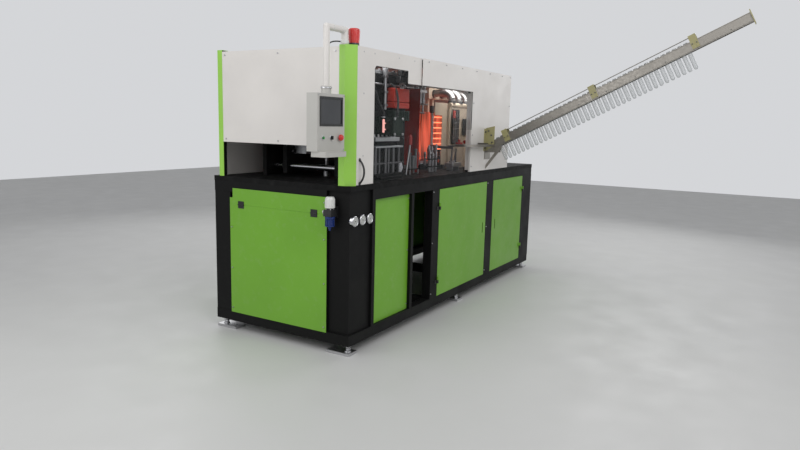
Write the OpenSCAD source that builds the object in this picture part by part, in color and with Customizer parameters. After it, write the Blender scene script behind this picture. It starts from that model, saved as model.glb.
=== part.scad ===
// Linear stretch blow moulding machine for large PET bottles.
// The front runs along X, the depth along Y. The origin is on the floor, midway between the anchor holes.

/* [Base] */
// Length of the base
base_l = 3770; // [3700:10:4000]
// Depth of the base
base_d = 1330; // [1330:10:1400]
// Height of the table top above the floor
table_top = 1250; // [1220:10:1320]
// Thickness of the machined table plate
table_t = 40; // [25:5:50]
// Side of the square frame tube
tube = 80; // [60:5:100]
// Height of the frame above the floor
foot_h = 75; // [60:5:100]
// Thickness of the floor plates
foot_plate_t = 20; // [12:1:25]
// Diameter of the levelling screws
jack_d = 24; // [16:2:30]
// Diameter of the floor anchor holes
anchor_d = 18; // [14:1:22]
// Thickness of the base panels
panel_t = 3; // [2:0.5:4]
// Depth of the black edge band above the panels
band_h = 90; // [70:5:110]
// Length of the service bay along the front
bay_l = 292; // [260:2:320]
// Depth of the service bay along the end
bay_d = 205; // [180:5:240]
// Width of the open bay in the front
open_bay_l = 320; // [250:10:400]
// Width of the post between the open bay and the first door
post_a_w = 130; // [100:5:160]
// Width of the first base door
door_a_l = 1058; // [900:2:1100]
// Width of the post between the base doors
post_b_w = 168; // [120:2:200]
// Width of the second base door
door_b_l = 870; // [800:10:900]

/* [Guard] */
// Height of the upper guard
guard_h = 970; // [950:10:1050]
// Length of the upper guard
guard_l = 2960; // [2940:10:3100]
// Thickness of the guard sheets
sheet_t = 2; // [1.5:0.5:3]
// Width of the bevel on the green posts
bevel = 60; // [40:5:80]
// Width of the leg of the sliding door
leg_w = 236; // [200:2:260]
// Right edge of the sliding door
leaf_x = 1000; // [940:10:1060]
// Height of the band over the tall part of the window
band_low = 120; // [80:5:160]
// Height of the band over the rest of the window
band_high = 218; // [180:2:240]
// Place of the step in the window's top edge
step_x = 780; // [740:10:820]
// Right edge of the window
window_x = 1990; // [1900:10:2050]
// Height of the opening under the end guard
end_open_h = 271; // [240:1:300]
// Width of the glazed notch left for the infeed
notch_w = 150; // [120:5:180]
// Height of the glazed notch left for the infeed
notch_h = 400; // [350:10:450]

/* [Clamp] */
// Place of the mould centre along the base
mould_x = 715; // [700:5:730]
// Place of the parting plane from the front
parting_y = 665; // [660:5:665]
// Width of a mould half
mould_w = 460; // [420:10:500]
// Height of a mould half
mould_h = 380; // [360:10:400]
// Thickness of a mould half
mould_t = 120; // [100:5:130]
// Opening stroke of each mould half
clamp_stroke = 120; // [80:5:120]
// Thickness of the moving platens
platen_t = 40; // [30:5:50]
// Thickness of the end plates
end_plate_t = 40; // [30:5:50]
// Diameter of the tie bars
tie_d = 50; // [40:2:60]
// Radial running fit of the sliding pieces
run_fit = 0.05; // [0.02:0.01:0.1]
// Distance between the bottle cavities
cavity_pitch = 220; // [200:5:230]
// Radius of the bottle body
bottle_r = 80; // [70:1:85]
// Module of the synchronising rack and pinion
gear_m = 4; // [3:0.5:5]
// Teeth of the synchronising pinion
pinion_n = 18; // [16:1:22]

/* [Blowing] */
// Stroke of the blow nozzles
nozzle_stroke = 30; // [20:5:35]
// Stroke of the stretch rods
stretch_stroke = 330; // [280:10:340]
// Diameter of the stretch rods
stretch_d = 14; // [10:1:16]
// Stroke of the mould base plugs
plug_stroke = 70; // [50:5:70]

/* [Oven] */
// Pitch of the spindle chain
chain_pitch = 76.2; // [70:0.1:80]
// Teeth of the chain sprockets
sprocket_n = 16; // [16:4:16]
// Links in each straight run of the chain
run_links = 8; // [6:1:8]
// Place of the left sprocket along the base
oven_x = 2050; // [2040:5:2070]
// Number of lamps above each other
lamp_rows = 7; // [5:1:7]

/* [Infeed] */
// Place of the chute along the base
chute_x = 2390; // [2350:10:2430]
// Slope of the chute
chute_slope = 27; // [25:0.5:29]
// Length of the chute
chute_l = 2480; // [2200:10:2500]
// Height of the chute rails
rail_h = 80; // [60:2:90]
// Gap between the chute rails
neck_gap = 50; // [48:1:54]

/* [Pendant] */
// Width of the operator pendant
pendant_w = 300; // [260:10:340]
// Height of the operator pendant
pendant_h = 380; // [340:10:420]
// Depth of the operator pendant
pendant_t = 90; // [70:5:110]
// Reach of the pendant arm
arm_reach = 330; // [300:10:380]

/* [Hidden] */
$fn = 32;

gap = 0.3;
base_z = foot_h;
rail_top = table_top - table_t;
panel_top = table_top - band_h;
panel_low = 150;
left_panel_x = 924;
post_a_x = left_panel_x + open_bay_l;
door_a_x = post_a_x + post_a_w;
post_b_x = door_a_x + door_a_l;
door_b_x = post_b_x + post_b_w;
end_post_x = door_b_x + door_b_l;
guard_top = table_top + guard_h;
foot_in_x = 60;
foot_in_y = 50;
anchor_in_y = 160;
mid_x = base_l / 2;
end_panel_y = base_d - 170;
pitch_r = chain_pitch * sprocket_n / (2 * PI);
right_x = oven_x + run_links * chain_pitch;
lane_y = parting_y - pitch_r;
bed_top = table_top + 40;
pick_a = 180 + 45;
pick_x = oven_x + pitch_r * cos(pick_a);
pick_y = parting_y + pitch_r * sin(pick_a);
track_y1 = 150;

// Places a piece that is drawn from the front left corner of the base
module placed() {
    translate([-base_l / 2, -base_d / 2, 0]) children();
}

// A box given by its low and high corners
module span(low, high) {
    translate(low) cube([high[0] - low[0], high[1] - low[1], high[2] - low[2]]);
}

// A round bar from a point, along X, Y or Z
module bar_x(at, r, l) { translate(at) rotate([0, 90, 0]) cylinder(r = r, h = l); }
module bar_y(at, r, l) { translate(at) rotate([-90, 0, 0]) cylinder(r = r, h = l); }
module bar_z(at, r, l) { translate(at) cylinder(r = r, h = l); }

// A hexagon nut or head on an axis along Z
module hex_z(at, across, h) {
    translate(at) cylinder(d = across / cos(30), h = h, $fn = 6);
}

// The same shape at both ends of the depth
module both_depths() {
    children();
    translate([0, base_d, 0]) mirror([0, 1, 0]) children();
}

// Foot plates with a levelling screw seat, and an anchor hole at the corners
foot_xs = [foot_in_x, mid_x, base_l - foot_in_x];
module levelling_feet() {
    color("dimgray") placed() both_depths() for (x = foot_xs) {
        difference() {
            span([x - 55, 5, 0], [x + 55, 205, foot_plate_t]);
            if (x != mid_x) bar_z([x, anchor_in_y, -1], anchor_d / 2, foot_plate_t + 2);
        }
        bar_z([x, foot_in_y, foot_plate_t - 1], jack_d / 2, foot_h - foot_plate_t + 1);
        hex_z([x, foot_in_y, foot_h - jack_d], jack_d * 1.5, jack_d * 0.8);
        bar_z([x, foot_in_y, foot_plate_t - 1], jack_d, 9);
    }
}

// Frame tubes: long rails at the floor and under the table
module base_long_rails() {
    color([0.09, 0.09, 0.1]) placed() {
        span([0, panel_t, foot_h], [base_l, panel_t + tube, foot_h + tube]);
        span([0, base_d - panel_t - tube, foot_h], [base_l, base_d - panel_t, foot_h + tube]);
        span([bay_l + panel_t, panel_t, rail_top - tube], [base_l, panel_t + tube, rail_top]);
        span([0, base_d - panel_t - tube, rail_top - tube], [base_l, base_d - panel_t, rail_top]);
    }
}

cross_xs = [0, post_a_x, post_b_x, base_l - tube];
module base_cross_rails() {
    color([0.09, 0.09, 0.1]) placed() for (x = cross_xs) {
        span([x, panel_t + tube, foot_h], [x + tube, base_d - panel_t - tube, foot_h + tube]);
        y0 = x == 0 ? bay_d + panel_t : panel_t + tube;
        span([x, y0, rail_top - tube], [x + tube, base_d - panel_t - tube, rail_top]);
    }
}

// Uprights: end posts, the wide posts beside the doors and the rear row
post_z0 = foot_h + tube;
post_z1 = rail_top - tube;
module base_posts() {
    color([0.08, 0.08, 0.09]) placed() {
        span([panel_t, bay_d + panel_t, post_z0], [tube, bay_d + panel_t + tube, post_z1]);
        span([bay_l + panel_t, panel_t, post_z0], [bay_l + panel_t + tube / 2, tube, post_z1]);
        span([left_panel_x - tube / 2, panel_t, post_z0], [left_panel_x, tube, post_z1]);
        span([post_a_x, 0, post_z0], [post_a_x + post_a_w, tube, post_z1]);
        span([post_b_x, 0, post_z0], [post_b_x + post_b_w, tube, post_z1]);
        span([end_post_x, 0, post_z0], [base_l - panel_t, tube, post_z1]);
        span([panel_t, end_panel_y, post_z0], [tube, base_d - panel_t, post_z1]);
        for (x = [post_a_x, post_b_x, base_l - tube])
            span([x, base_d - tube, post_z0], [x + tube - panel_t, base_d - panel_t, post_z1]);
    }
}

// Fixed panels: left end, front left, rear row and right end
seam_z = 1032;
module base_panels() {
    color([0.36, 0.66, 0.16]) placed() {
        // left end panel, with the seam of its upper flap and a notch at the rear
        difference() {
            span([-panel_t, bay_d, panel_low], [0, end_panel_y, panel_top]);
            span([-panel_t - 1, bay_d + 20, seam_z], [-panel_t / 2, end_panel_y - 20, seam_z + 3]);
            span([-panel_t - 1, end_panel_y - 30, panel_top - 75], [1, end_panel_y + 1, panel_top + 1]);
        }
        // front left panel, set back behind the posts
        span([bay_l + tube / 2 + panel_t, 30, post_z0], [left_panel_x - tube / 2, 30 + panel_t, post_z1]);
        for (i = [0:2]) {
            x0 = [tube, post_a_x + tube, post_b_x + tube][i] + 4;
            x1 = [post_a_x, post_b_x, base_l - tube][i] - 4;
            span([x0, base_d - panel_t, panel_low], [x1, base_d, panel_top]);
        }
        span([base_l, tube, panel_low], [base_l + panel_t, base_d - tube, panel_top]);
    }
}

// Table plate with the ways for the nozzles, the sprocket shafts and the sync racks
nozzle_r = 30;
cavity_xs = [mould_x - cavity_pitch / 2, mould_x + cavity_pitch / 2];
module table_plate() {
    color([0.1, 0.1, 0.11]) placed() difference() {
        span([0, 0, rail_top], [base_l, base_d, table_top]);
        for (x = cavity_xs) bar_z([x, parting_y, rail_top - 1], nozzle_r + 6, table_t + 2);
        for (x = [oven_x, right_x]) bar_z([x, parting_y, rail_top - 1], 30 + run_fit, table_t + 2);
    }
}

// Black corner column of the service bay, a folded sheet with the gauge holes
gauge_xs = [48, 144, 240];
gauge_z = 999;
gauge_r = 38;
bay_face = 22;
module service_column() {
    color([0.07, 0.07, 0.08]) placed() difference() {
        union() {
            span([bay_face, bay_face, post_z0], [bay_l, bay_face + panel_t, rail_top]);
            span([bay_face, bay_face, post_z0], [bay_face + panel_t, bay_d, rail_top]);
            span([bay_face, bay_face, foot_h + tube], [bay_l, bay_d, panel_low + 10]);
        }
        for (x = gauge_xs) bar_y([x, 0, gauge_z], 8, 60);
    }
}

// Three gauges with a rolled bezel, a domed glass and a stem through the column
module pressure_gauges() {
    color("gainsboro") placed() for (x = gauge_xs)
        translate([x, bay_face, gauge_z]) rotate([90, 0, 0]) rotate_extrude() difference() {
            union() {
                polygon([[0, -20], [7.7, -20], [7.7, 0], [gauge_r - 6, 0], [gauge_r - 3, 8], [gauge_r - 3, 22],
                    [gauge_r, 24], [gauge_r, 33], [gauge_r - 4, 36], [gauge_r - 6, 34], [0, 34]]);
            }
        }
}

// Filter and regulator on the end face, with its bracket and ports
frl_x = -38;
frl_y = 150;
frl_z = 1058;
module air_filter() {
    color([0.12, 0.12, 0.13]) placed() difference() {
        union() {
            span([frl_x - 34, frl_y - 34, frl_z - 26], [frl_x + 34, frl_y + 34, frl_z + 22]);
            bar_z([frl_x, frl_y, frl_z + 22], 26, 12);
            span([frl_x + 30, frl_y - 14, frl_z - 10], [bay_face, frl_y + 14, frl_z + 10]);
            span([bay_face - 5, frl_y - 30, frl_z - 40], [bay_face, frl_y + 30, frl_z + 40]);
            bar_y([frl_x, frl_y + 34, frl_z], 17, 14);
        }
        bar_y([frl_x, frl_y + 20, frl_z], 9.5, 29);
    }
}

module filter_bowl() {
    color([0.08, 0.14, 0.42]) placed() translate([frl_x, frl_y, frl_z - 26]) rotate([180, 0, 0]) rotate_extrude()
        polygon([[0, 0], [30, 0], [34, 4], [34, 12], [30, 18], [30, 62], [24, 76], [12, 82], [12, 90], [7, 90],
            [7, 104], [0, 104]]);
}

module regulator_knob() {
    color("white") placed() translate([frl_x, frl_y, frl_z + 34 + gap]) difference() {
        union() {
            cylinder(r = 36, h = 60);
            translate([0, 0, 60]) cylinder(r1 = 36, r2 = 28, h = 18, $fn = 48);
        }
        for (a = [0:30:330]) rotate(a) bar_z([38, 0, 6], 4, 60);
    }
}

// Hinges of the base doors: the fixed leaf, its knuckle and the pin
door_z0 = post_z0 + 3;
door_z1 = post_z1 - 3;
pin_r = 5;
knuckle_r = 9;
hinge_zs = [door_z0 + 120, door_z1 - 180];
module fixed_hinge(x, side) {
    for (z = hinge_zs) {
        bar_z([x, -knuckle_r, z], knuckle_r, 30);
        bar_z([x, -knuckle_r, z + 29], pin_r, 31);
        span([min(x, x + side * 45), -4, z], [max(x, x + side * 45), 0, z + 30]);
    }
}
module door_hinges() {
    color([0.1, 0.1, 0.1]) placed() {
        fixed_hinge(door_a_x, -1);
        fixed_hinge(end_post_x, 1);
    }
}

// A hinged tray door with its knuckles, drawn from its left edge
module tray_door(x0, x1, hinge_x, side) {
    difference() {
        union() {
            difference() {
                span([x0 + 3, 0, door_z0], [x1 - 3, 18, door_z1]);
                span([x0 + 3 + panel_t, panel_t, door_z0 + panel_t], [x1 - 3 - panel_t, 19, door_z1 - panel_t]);
            }
            for (z = hinge_zs) {
                bar_z([hinge_x, -knuckle_r, z + 30 + gap], knuckle_r, 30 - gap);
                span([min(hinge_x, hinge_x + side * 45), -4, z + 30 + gap],
                    [max(hinge_x, hinge_x + side * 45), 0, z + 60]);
            }
        }
        for (z = hinge_zs) bar_z([hinge_x, -knuckle_r, z], pin_r + run_fit, 70);
    }
}

// Slot that the hand pulls the door by
module pull_slot(x, z) {
    span([x - 8, -1, z - 47], [x + 8, panel_t + 1, z + 47]);
    for (e = [-47, 47]) bar_y([x, -1, z + e], 8, panel_t + 2);
}
module base_door_a() {
    color([0.36, 0.66, 0.16]) placed() difference() {
        tray_door(door_a_x, post_b_x, door_a_x, 1);
        pull_slot(post_b_x - 70, 660);
    }
}
module base_door_b() {
    color([0.36, 0.66, 0.16]) placed() difference() {
        tray_door(door_b_x, end_post_x, end_post_x, -1);
        pull_slot(door_b_x + 85, 660);
    }
}

// Folded green corner posts with a bevelled outer face and a cap
post_w = 108;
post_edge = bevel + 6;
mast_x = 23;
mast_y = 80;
mast_r = 18;
inner_fold = bevel + panel_t * 0.4;
module green_posts() {
    color([0.49, 0.8, 0.19]) placed() both_depths() {
        translate([0, 0, table_top]) linear_extrude(guard_h - panel_t) polygon([[0, post_w], [0, bevel],
            [bevel, 0], [post_edge, 0], [post_edge, panel_t], [inner_fold, panel_t], [panel_t, inner_fold],
            [panel_t, post_w]]);
        translate([0, 0, guard_top - panel_t]) difference() {
            linear_extrude(panel_t) polygon([[0, post_w], [0, bevel], [bevel, 0], [post_edge, 0],
                [post_edge, post_w]]);
            bar_z([mast_x, mast_y, -1], mast_r + 4, panel_t + 2);
        }
    }
}

// Long rails under the roof, and the track that the front door hangs on
frame_w = 40;
frame_y = 60;
track_end = window_x - 30;
ledge_z = guard_top - 57;
module guard_long_rails() {
    color([0.12, 0.12, 0.13]) placed() {
        both_depths() span([panel_t + frame_w, frame_y, guard_top - 50],
            [guard_l - 3, frame_y + frame_w, guard_top - 10]);
        span([post_edge + 4, 44, ledge_z - 8], [track_end, frame_y, guard_top - 10]);
        span([post_edge + 4, 22, ledge_z - 8], [track_end, 45, ledge_z]);
    }
}

// Uprights of the guard; the front left one carries the pendant's mast
module guard_uprights() {
    color([0.12, 0.12, 0.13]) placed() {
        both_depths() span([panel_t + 2, frame_y, table_top],
            [panel_t + frame_w, frame_y + frame_w, guard_top - panel_t - gap]);
        bar_z([mast_x, mast_y, guard_top - 10], mast_r, 80);
        for (x = [window_x + 20, guard_l - 3 - frame_w])
            span([x, 20, table_top], [x + frame_w, frame_y, guard_top - 10]);
        for (x = [1460, guard_l - 3 - frame_w])
            span([x, base_d - frame_y, table_top], [x + frame_w, base_d - 20, guard_top - 10]);
    }
}

// A rectangular way through a sheet that faces the front, with one rounded upper left corner
module rounded_way(x0, x1, z0, z1, r, y0, y1) {
    span([x0 + r, y0, z0], [x1, y1, z1]);
    span([x0, y0, z0], [x1, y1, z1 - r]);
    bar_y([x0 + r, y0, z1 - r], r, y1 - y0);
}

// Fixed front leaf with the window's right part cut away and returned edges
window_r = 28;
window_top = guard_top - band_high;
module fixed_leaf() {
    difference() {
        span([leaf_x, 0, table_top], [guard_l, sheet_t, guard_top]);
        span([leaf_x - 1, -1, table_top - 1], [window_x, 3, window_top]);
    }
    span([guard_l - sheet_t, 0, table_top], [guard_l, 20, guard_top]);
    span([window_x, 0, table_top], [window_x + sheet_t, 20, window_top]);
}

// Clear pane behind the fixed leaf, with a notch that the infeed enters by
module fixed_pane() {
    color([0.8, 0.9, 0.95, 0.3]) placed() difference() {
        span([leaf_x + 5, sheet_t, table_top + 2], [window_x - 1, sheet_t + 4, window_top + 25]);
        span([window_x - notch_w, 0, table_top], [window_x, 9, table_top + notch_h]);
    }
}

// Front door that hangs on the track and slides behind the fixed leaf
leaf_y = 10;
leaf_z0 = table_top + 2;
leaf_z1 = guard_top - 2;
leg_x = post_edge + 2 + leg_w;
hanger_xs = [150, leaf_x - 120];
module sliding_door() {
    color("white") placed() {
        difference() {
            span([post_edge + 2, leaf_y, leaf_z0], [leaf_x, leaf_y + sheet_t, leaf_z1]);
            rounded_way(leg_x, step_x, leaf_z0 - 1, guard_top - band_low, window_r, leaf_y - 1, leaf_y + 3);
            span([step_x - 1, leaf_y - 1, leaf_z0 - 1], [leaf_x + 1, leaf_y + 3, window_top]);
        }
        span([post_edge + 2, leaf_y, leaf_z0], [post_edge + 4, leaf_y + 16, ledge_z - 12]);
        for (x = hanger_xs) {
            span([x, leaf_y + sheet_t, ledge_z - 20], [x + 40, leaf_y + 6, ledge_z + 25]);
            span([x, leaf_y + 5, ledge_z], [x + 40, 43, ledge_z + 25]);
        }
    }
}

module door_pane() {
    color([0.8, 0.9, 0.95, 0.3]) placed()
        span([leg_x - 20, leaf_y + sheet_t, leaf_z0 + 4], [leaf_x - 10, leaf_y + 6, ledge_z - 24]);
}

// Bow handle on the door's leg
bow_z0 = 1261;
bow_h = 171;
bow_out = 40;
bow_radius = (bow_h * bow_h / 4 + bow_out * bow_out) / (2 * bow_out);
bow_angle = 2 * asin(bow_h / 2 / bow_radius);
handle_x = 122;
module door_handle() {
    color([0.1, 0.1, 0.12]) placed() difference() {
        union() {
            translate([handle_x, leaf_y + bow_radius - bow_out, bow_z0 + bow_h / 2]) rotate([0, 90, 0])
                rotate([0, 0, -90 - bow_angle / 2]) rotate_extrude(angle = bow_angle, $fn = 64)
                    translate([bow_radius, 0]) circle(r = 7, $fn = 24);
            for (z = [bow_z0, bow_z0 + bow_h]) bar_y([handle_x, leaf_y - 6, z], 10, 6);
        }
        span([handle_x - 20, leaf_y, bow_z0 - 20], [handle_x + 20, leaf_y + 30, bow_z0 + bow_h + 20]);
    }
}

// White sheets of the guard: left end over its opening, right end, rear and roof
end_low = table_top + end_open_h;
module guard_sheets() {
    color("white") placed() {
        fixed_leaf();
        span([1, post_w, end_low], [panel_t, base_d - post_w, guard_top - 12]);
        span([panel_t, post_w, end_low], [panel_t + 20, base_d - post_w, end_low + sheet_t]);
        span([guard_l - sheet_t, 20 + gap, table_top], [guard_l, base_d - 20 - gap, guard_top - 12]);
        difference() {
            span([post_edge + 2, base_d - 20, table_top], [guard_l, base_d - 20 + sheet_t, guard_top - 12]);
            for (x = [2100, 2500]) for (i = [0:7])
                span([x, base_d - 21, 1900 + i * 30], [x + 220, base_d - 17, 1912 + i * 30]);
        }
        for (x = [post_edge + 4, guard_l / 2 + 2])
            span([x, 14 + sheet_t, guard_top - 10], [x + guard_l / 2 - post_edge, base_d - 16, guard_top - 8]);
    }
}

module beacon() {
    color([0.85, 0.08, 0.06]) placed() translate([108, 62, guard_top - 8]) rotate_extrude()
        polygon([[0, 0], [34, 0], [34, 26], [37, 26], [41, 112], [36, 122], [0, 126]]);
}

// The same piece on both sides of the parting plane
module both_halves() {
    children();
    translate([0, 2 * parting_y, 0]) mirror([0, 1, 0]) children();
}
module hex_y(at, across, h) {
    translate(at) rotate([-90, 0, 0]) cylinder(d = across / cos(30), h = h, $fn = 6);
}

// Clamp: end plates joined by four tie bars, a cylinder on each plate
clamp_z = 1670;
clamp_top = clamp_z + 410;
end_y = parting_y - 450;
plate_half_w = 385;
tie_half_w = 280;
tie_half_h = 340;
tie_xs = [mould_x - tie_half_w, mould_x + tie_half_w];
tie_zs = [clamp_z - tie_half_h, clamp_z + tie_half_h];
rod_r = 20;
module clamp_end_plates() {
    color([0.11, 0.11, 0.12]) placed() both_halves() difference() {
        span([mould_x - plate_half_w, end_y, table_top], [mould_x + plate_half_w, end_y + end_plate_t, clamp_top]);
        for (x = tie_xs) for (z = tie_zs) bar_y([x, end_y - 1, z], tie_d / 2 + run_fit, end_plate_t + 2);
        bar_y([mould_x, end_y - 1, clamp_z], rod_r + run_fit, end_plate_t + 2);
        // cast pockets that lighten the plate
        for (x = [mould_x - 170, mould_x + 170]) for (z = [clamp_z - 200, clamp_z + 200])
            span([x - 90, end_y - 1, z - 110], [x + 90, end_y + 12, z + 110]);
    }
}

sync_z = 1850;
sync_x = mould_x + plate_half_w - 50;
sync_w = 25;
module tie_bars() {
    color("silver") placed() {
        for (x = tie_xs) for (z = tie_zs) {
            bar_y([x, end_y - 30, z], tie_d / 2, 2 * (parting_y - end_y) + 60);
            both_halves() hex_y([x, end_y - 26, z], tie_d * 1.6, 26);
        }
        // stay that carries the synchronising pinion
        difference() {
            span([sync_x + sync_w + 5, end_y + end_plate_t, sync_z - 15],
                [sync_x + sync_w + 25, 2 * parting_y - end_y - end_plate_t, sync_z + 15]);
            bar_x([sync_x + sync_w, parting_y, sync_z], 10 + run_fit, 30);
        }
    }
}

cap_w = 150;
barrel_l = clamp_stroke + 45;
barrel_y = end_y - barrel_l;
module clamp_cylinders() {
    color([0.16, 0.2, 0.18]) placed() both_halves() difference() {
        union() {
            for (y = [barrel_y, end_y - 30])
                span([mould_x - cap_w / 2, y, clamp_z - cap_w / 2],
                    [mould_x + cap_w / 2, y + 30, clamp_z + cap_w / 2]);
            bar_y([mould_x, barrel_y, clamp_z], 62, barrel_l);
            for (x = [-60, 60]) for (z = [-60, 60]) bar_y([mould_x + x, barrel_y, clamp_z + z], 7, barrel_l);
        }
        bar_y([mould_x, barrel_y + 6, clamp_z], rod_r + run_fit, barrel_l);
    }
}

// Involute outline of the pinion, by the half angle of a tooth at each radius
pinion_r = gear_m * pinion_n / 2;
base_r = pinion_r * cos(20);
root_r = pinion_r - 1.25 * gear_m;
tip_r = pinion_r + gear_m;
backlash = 0.5;
function involute(a) = tan(a) * 180 / PI - a;
tooth_half = 90 / pinion_n - backlash / pinion_r * 90 / PI;
function half_at(r) = tooth_half + involute(20) - involute(acos(min(1, base_r / r)));
flank_rs = [base_r, base_r + 1, pinion_r, pinion_r + gear_m * 0.55, tip_r];
function polar(r, a) = [r * cos(a), r * sin(a)];
function one_tooth(c) = concat([polar(root_r, c - half_at(base_r) - 1)],
    [for (r = flank_rs) polar(r, c - half_at(r))],
    [for (i = [4:-1:0]) polar(flank_rs[i], c + half_at(flank_rs[i]))],
    [polar(root_r, c + half_at(base_r) + 1)]);
module sync_pinion() {
    color("silver") placed() translate([sync_x, parting_y, sync_z]) rotate([0, 90, 0]) {
        linear_extrude(sync_w) polygon([for (k = [0:pinion_n - 1]) each one_tooth(180 + k * 360 / pinion_n)]);
        cylinder(r = 10, h = sync_w + 25);
        translate([0, 0, sync_w]) cylinder(r = 18, h = 4.7);
    }
}

// Rack that drives the pinion, with its teeth down and a gap over the pinion's centre line
gear_pitch = PI * gear_m;
rack_teeth = ceil((clamp_stroke + 60) / gear_pitch);
module rack_outline() {
    a = gear_m * tan(20);
    w = gear_pitch / 4 - backlash / 4;
    for (k = [-rack_teeth:1]) translate([(k + 0.5) * gear_pitch, 0])
        polygon([[-w - 1.25 * a, 1.25 * gear_m], [-w + a, -gear_m], [w - a, -gear_m],
            [w + 1.25 * a, 1.25 * gear_m]]);
}
platen_y = end_y + 170;
platen_half_w = 330;
platen_half_h = 400;
module sync_rack() {
    translate([sync_x, parting_y, sync_z + pinion_r]) rotate([90, 0, 90]) linear_extrude(sync_w) rack_outline();
    span([sync_x, platen_y, sync_z + pinion_r + 1.25 * gear_m - 0.1],
        [sync_x + sync_w, parting_y + 2 * gear_pitch, sync_z + pinion_r + 26]);
    span([mould_x + platen_half_w - 1, platen_y, sync_z + pinion_r + 1.25 * gear_m],
        [sync_x + 1, platen_y + platen_t, sync_z + pinion_r + 26]);
}
module platen() {
    difference() {
        union() {
            span([mould_x - platen_half_w, platen_y, clamp_z - platen_half_h],
                [mould_x + platen_half_w, platen_y + platen_t, clamp_z + platen_half_h]);
            for (x = tie_xs) for (z = tie_zs) bar_y([x, platen_y - 20, z], tie_d / 2 + 16, 21);
        }
        for (x = tie_xs) for (z = tie_zs) bar_y([x, platen_y - 21, z], tie_d / 2 + run_fit, platen_t + 22);
    }
    bar_y([mould_x, barrel_y + 20, clamp_z], rod_r, platen_y - barrel_y - 19);
}
module front_platen() {
    color([0.5, 0.52, 0.54]) placed() { platen(); sync_rack(); }
}
module rear_platen() {
    color([0.5, 0.52, 0.54]) placed() translate([0, 2 * parting_y, 0]) mirror([0, 1, 0]) {
        platen();
        translate([0, 0, 2 * sync_z]) mirror([0, 0, 1]) sync_rack();
    }
}

// Mould halves: two bottle cavities, open below for the neck and above for the base plug
mould_z0 = 1430;
neck_r = 19;
body_z = mould_z0 + 110;
base_z_in = mould_z0 + mould_h - 50;
rib_n = 4;
rib_step = (base_z_in - body_z) / (rib_n + 1);
mould_face = platen_y + platen_t + mould_t;
function shoulder() = [for (t = [0:15:90])
    [neck_r + (bottle_r - neck_r) * sin(t), mould_z0 + 20 + 90 * (1 - cos(t))]];
function rib(z) = [[bottle_r, z - 7], [bottle_r - 3, z], [bottle_r, z + 7]];
function ribs() = [for (k = [1:rib_n]) each rib(body_z + k * rib_step)];
module bottle_way() {
    rotate_extrude($fn = 64) polygon(concat([[0, mould_z0 - 1], [neck_r, mould_z0 - 1]], shoulder(), ribs(),
        [[bottle_r, base_z_in - 8], [bottle_r - 4, base_z_in], [bottle_r - 4, mould_z0 + mould_h + 1],
        [0, mould_z0 + mould_h + 1]]));
}
module mould_half() {
    difference() {
        span([mould_x - mould_w / 2, platen_y + platen_t, mould_z0],
            [mould_x + mould_w / 2, mould_face, mould_z0 + mould_h]);
        for (x = cavity_xs) translate([x, mould_face, 0]) bottle_way();
        for (z = [mould_z0 + 60, mould_z0 + 200, mould_z0 + 330])
            bar_x([mould_x + mould_w / 2 - 30, platen_y + platen_t + 22, z], 7, 31);
    }
}
module front_mould() { color([0.78, 0.79, 0.8]) placed() mould_half(); }
module rear_mould() {
    color([0.78, 0.79, 0.8]) placed() translate([0, 2 * parting_y, 0]) mirror([0, 1, 0]) mould_half();
}

// Base plugs on their carriage, and the compact cylinders on the bridge over the clamp
plug_z = mould_z0 + mould_h + 20;
plug_rod_r = 16;
plug_bar_half_w = 175;
plug_bar_half_d = 50;
plug_bar_low = 70;
plug_bar_high = 95;
bridge_half_w = 230;
bridge_t = 25;
plug_barrel_r = 60;
plug_barrel_l = 100;
plug_cap_t = 7;
plug_rod_end = clamp_top + bridge_t + plug_barrel_l - 15;
module base_plugs() {
    color("silver") placed() {
        for (x = cavity_xs) translate([x, parting_y, plug_z]) rotate_extrude($fn = 64)
            polygon([[0, 18], [40, 14], [60, 4], [68, 0], [bottle_r - 4 - gap, 6], [bottle_r - 4 - gap, 50],
                [50, 62], [50, 71], [0, 71]]);
        span([mould_x - plug_bar_half_w, parting_y - plug_bar_half_d, plug_z + plug_bar_low],
            [mould_x + plug_bar_half_w, parting_y + plug_bar_half_d, plug_z + plug_bar_high]);
        for (x = cavity_xs)
            bar_z([x, parting_y, plug_z + plug_bar_high - 1], plug_rod_r,
                plug_rod_end - plug_z - plug_bar_high + 1);
    }
}
module plug_cylinders() {
    color([0.72, 0.73, 0.75]) placed() difference() {
        union() {
            span([mould_x - bridge_half_w, end_y, clamp_top],
                [mould_x + bridge_half_w, 2 * parting_y - end_y, clamp_top + bridge_t]);
            for (x = cavity_xs) bar_z([x, parting_y, clamp_top + bridge_t - 1], plug_barrel_r, plug_barrel_l);
        }
        for (x = cavity_xs)
            bar_z([x, parting_y, clamp_top - 1], plug_rod_r + run_fit, bridge_t + plug_barrel_l - plug_cap_t);
    }
}

// Guides and cylinders of the blowing unit under the table
guide_xs = [mould_x - 200, mould_x + 200];
guide_r = 15;
floor_z = post_z0 - 25;
lift_ys = [parting_y - 36, parting_y + 36];
module blow_guides() {
    color("silver") placed() {
        difference() {
            union() {
                bar_z([mould_x, parting_y, floor_z + 25 + gap], 45, 430);
                span([mould_x - 60, parting_y - 60, floor_z + 25 + gap], [mould_x + 60, parting_y + 60, floor_z + 50]);
            }
            bar_z([mould_x, parting_y, floor_z + 40], 12.5 + run_fit, 460);
        }
        span([mould_x - 260, panel_t + tube, floor_z],
            [mould_x + 260, base_d - panel_t - tube, floor_z + 25]);
        for (x = guide_xs) bar_z([x, parting_y, floor_z + 25 + gap], guide_r, rail_top - floor_z - 25 - gap);
        for (y = lift_ys) difference() {
            bar_z([mould_x, y, rail_top - 80], 30, 80);
            bar_z([mould_x, y, rail_top - 81], 10 + run_fit, 76);
        }
    }
}

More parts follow.
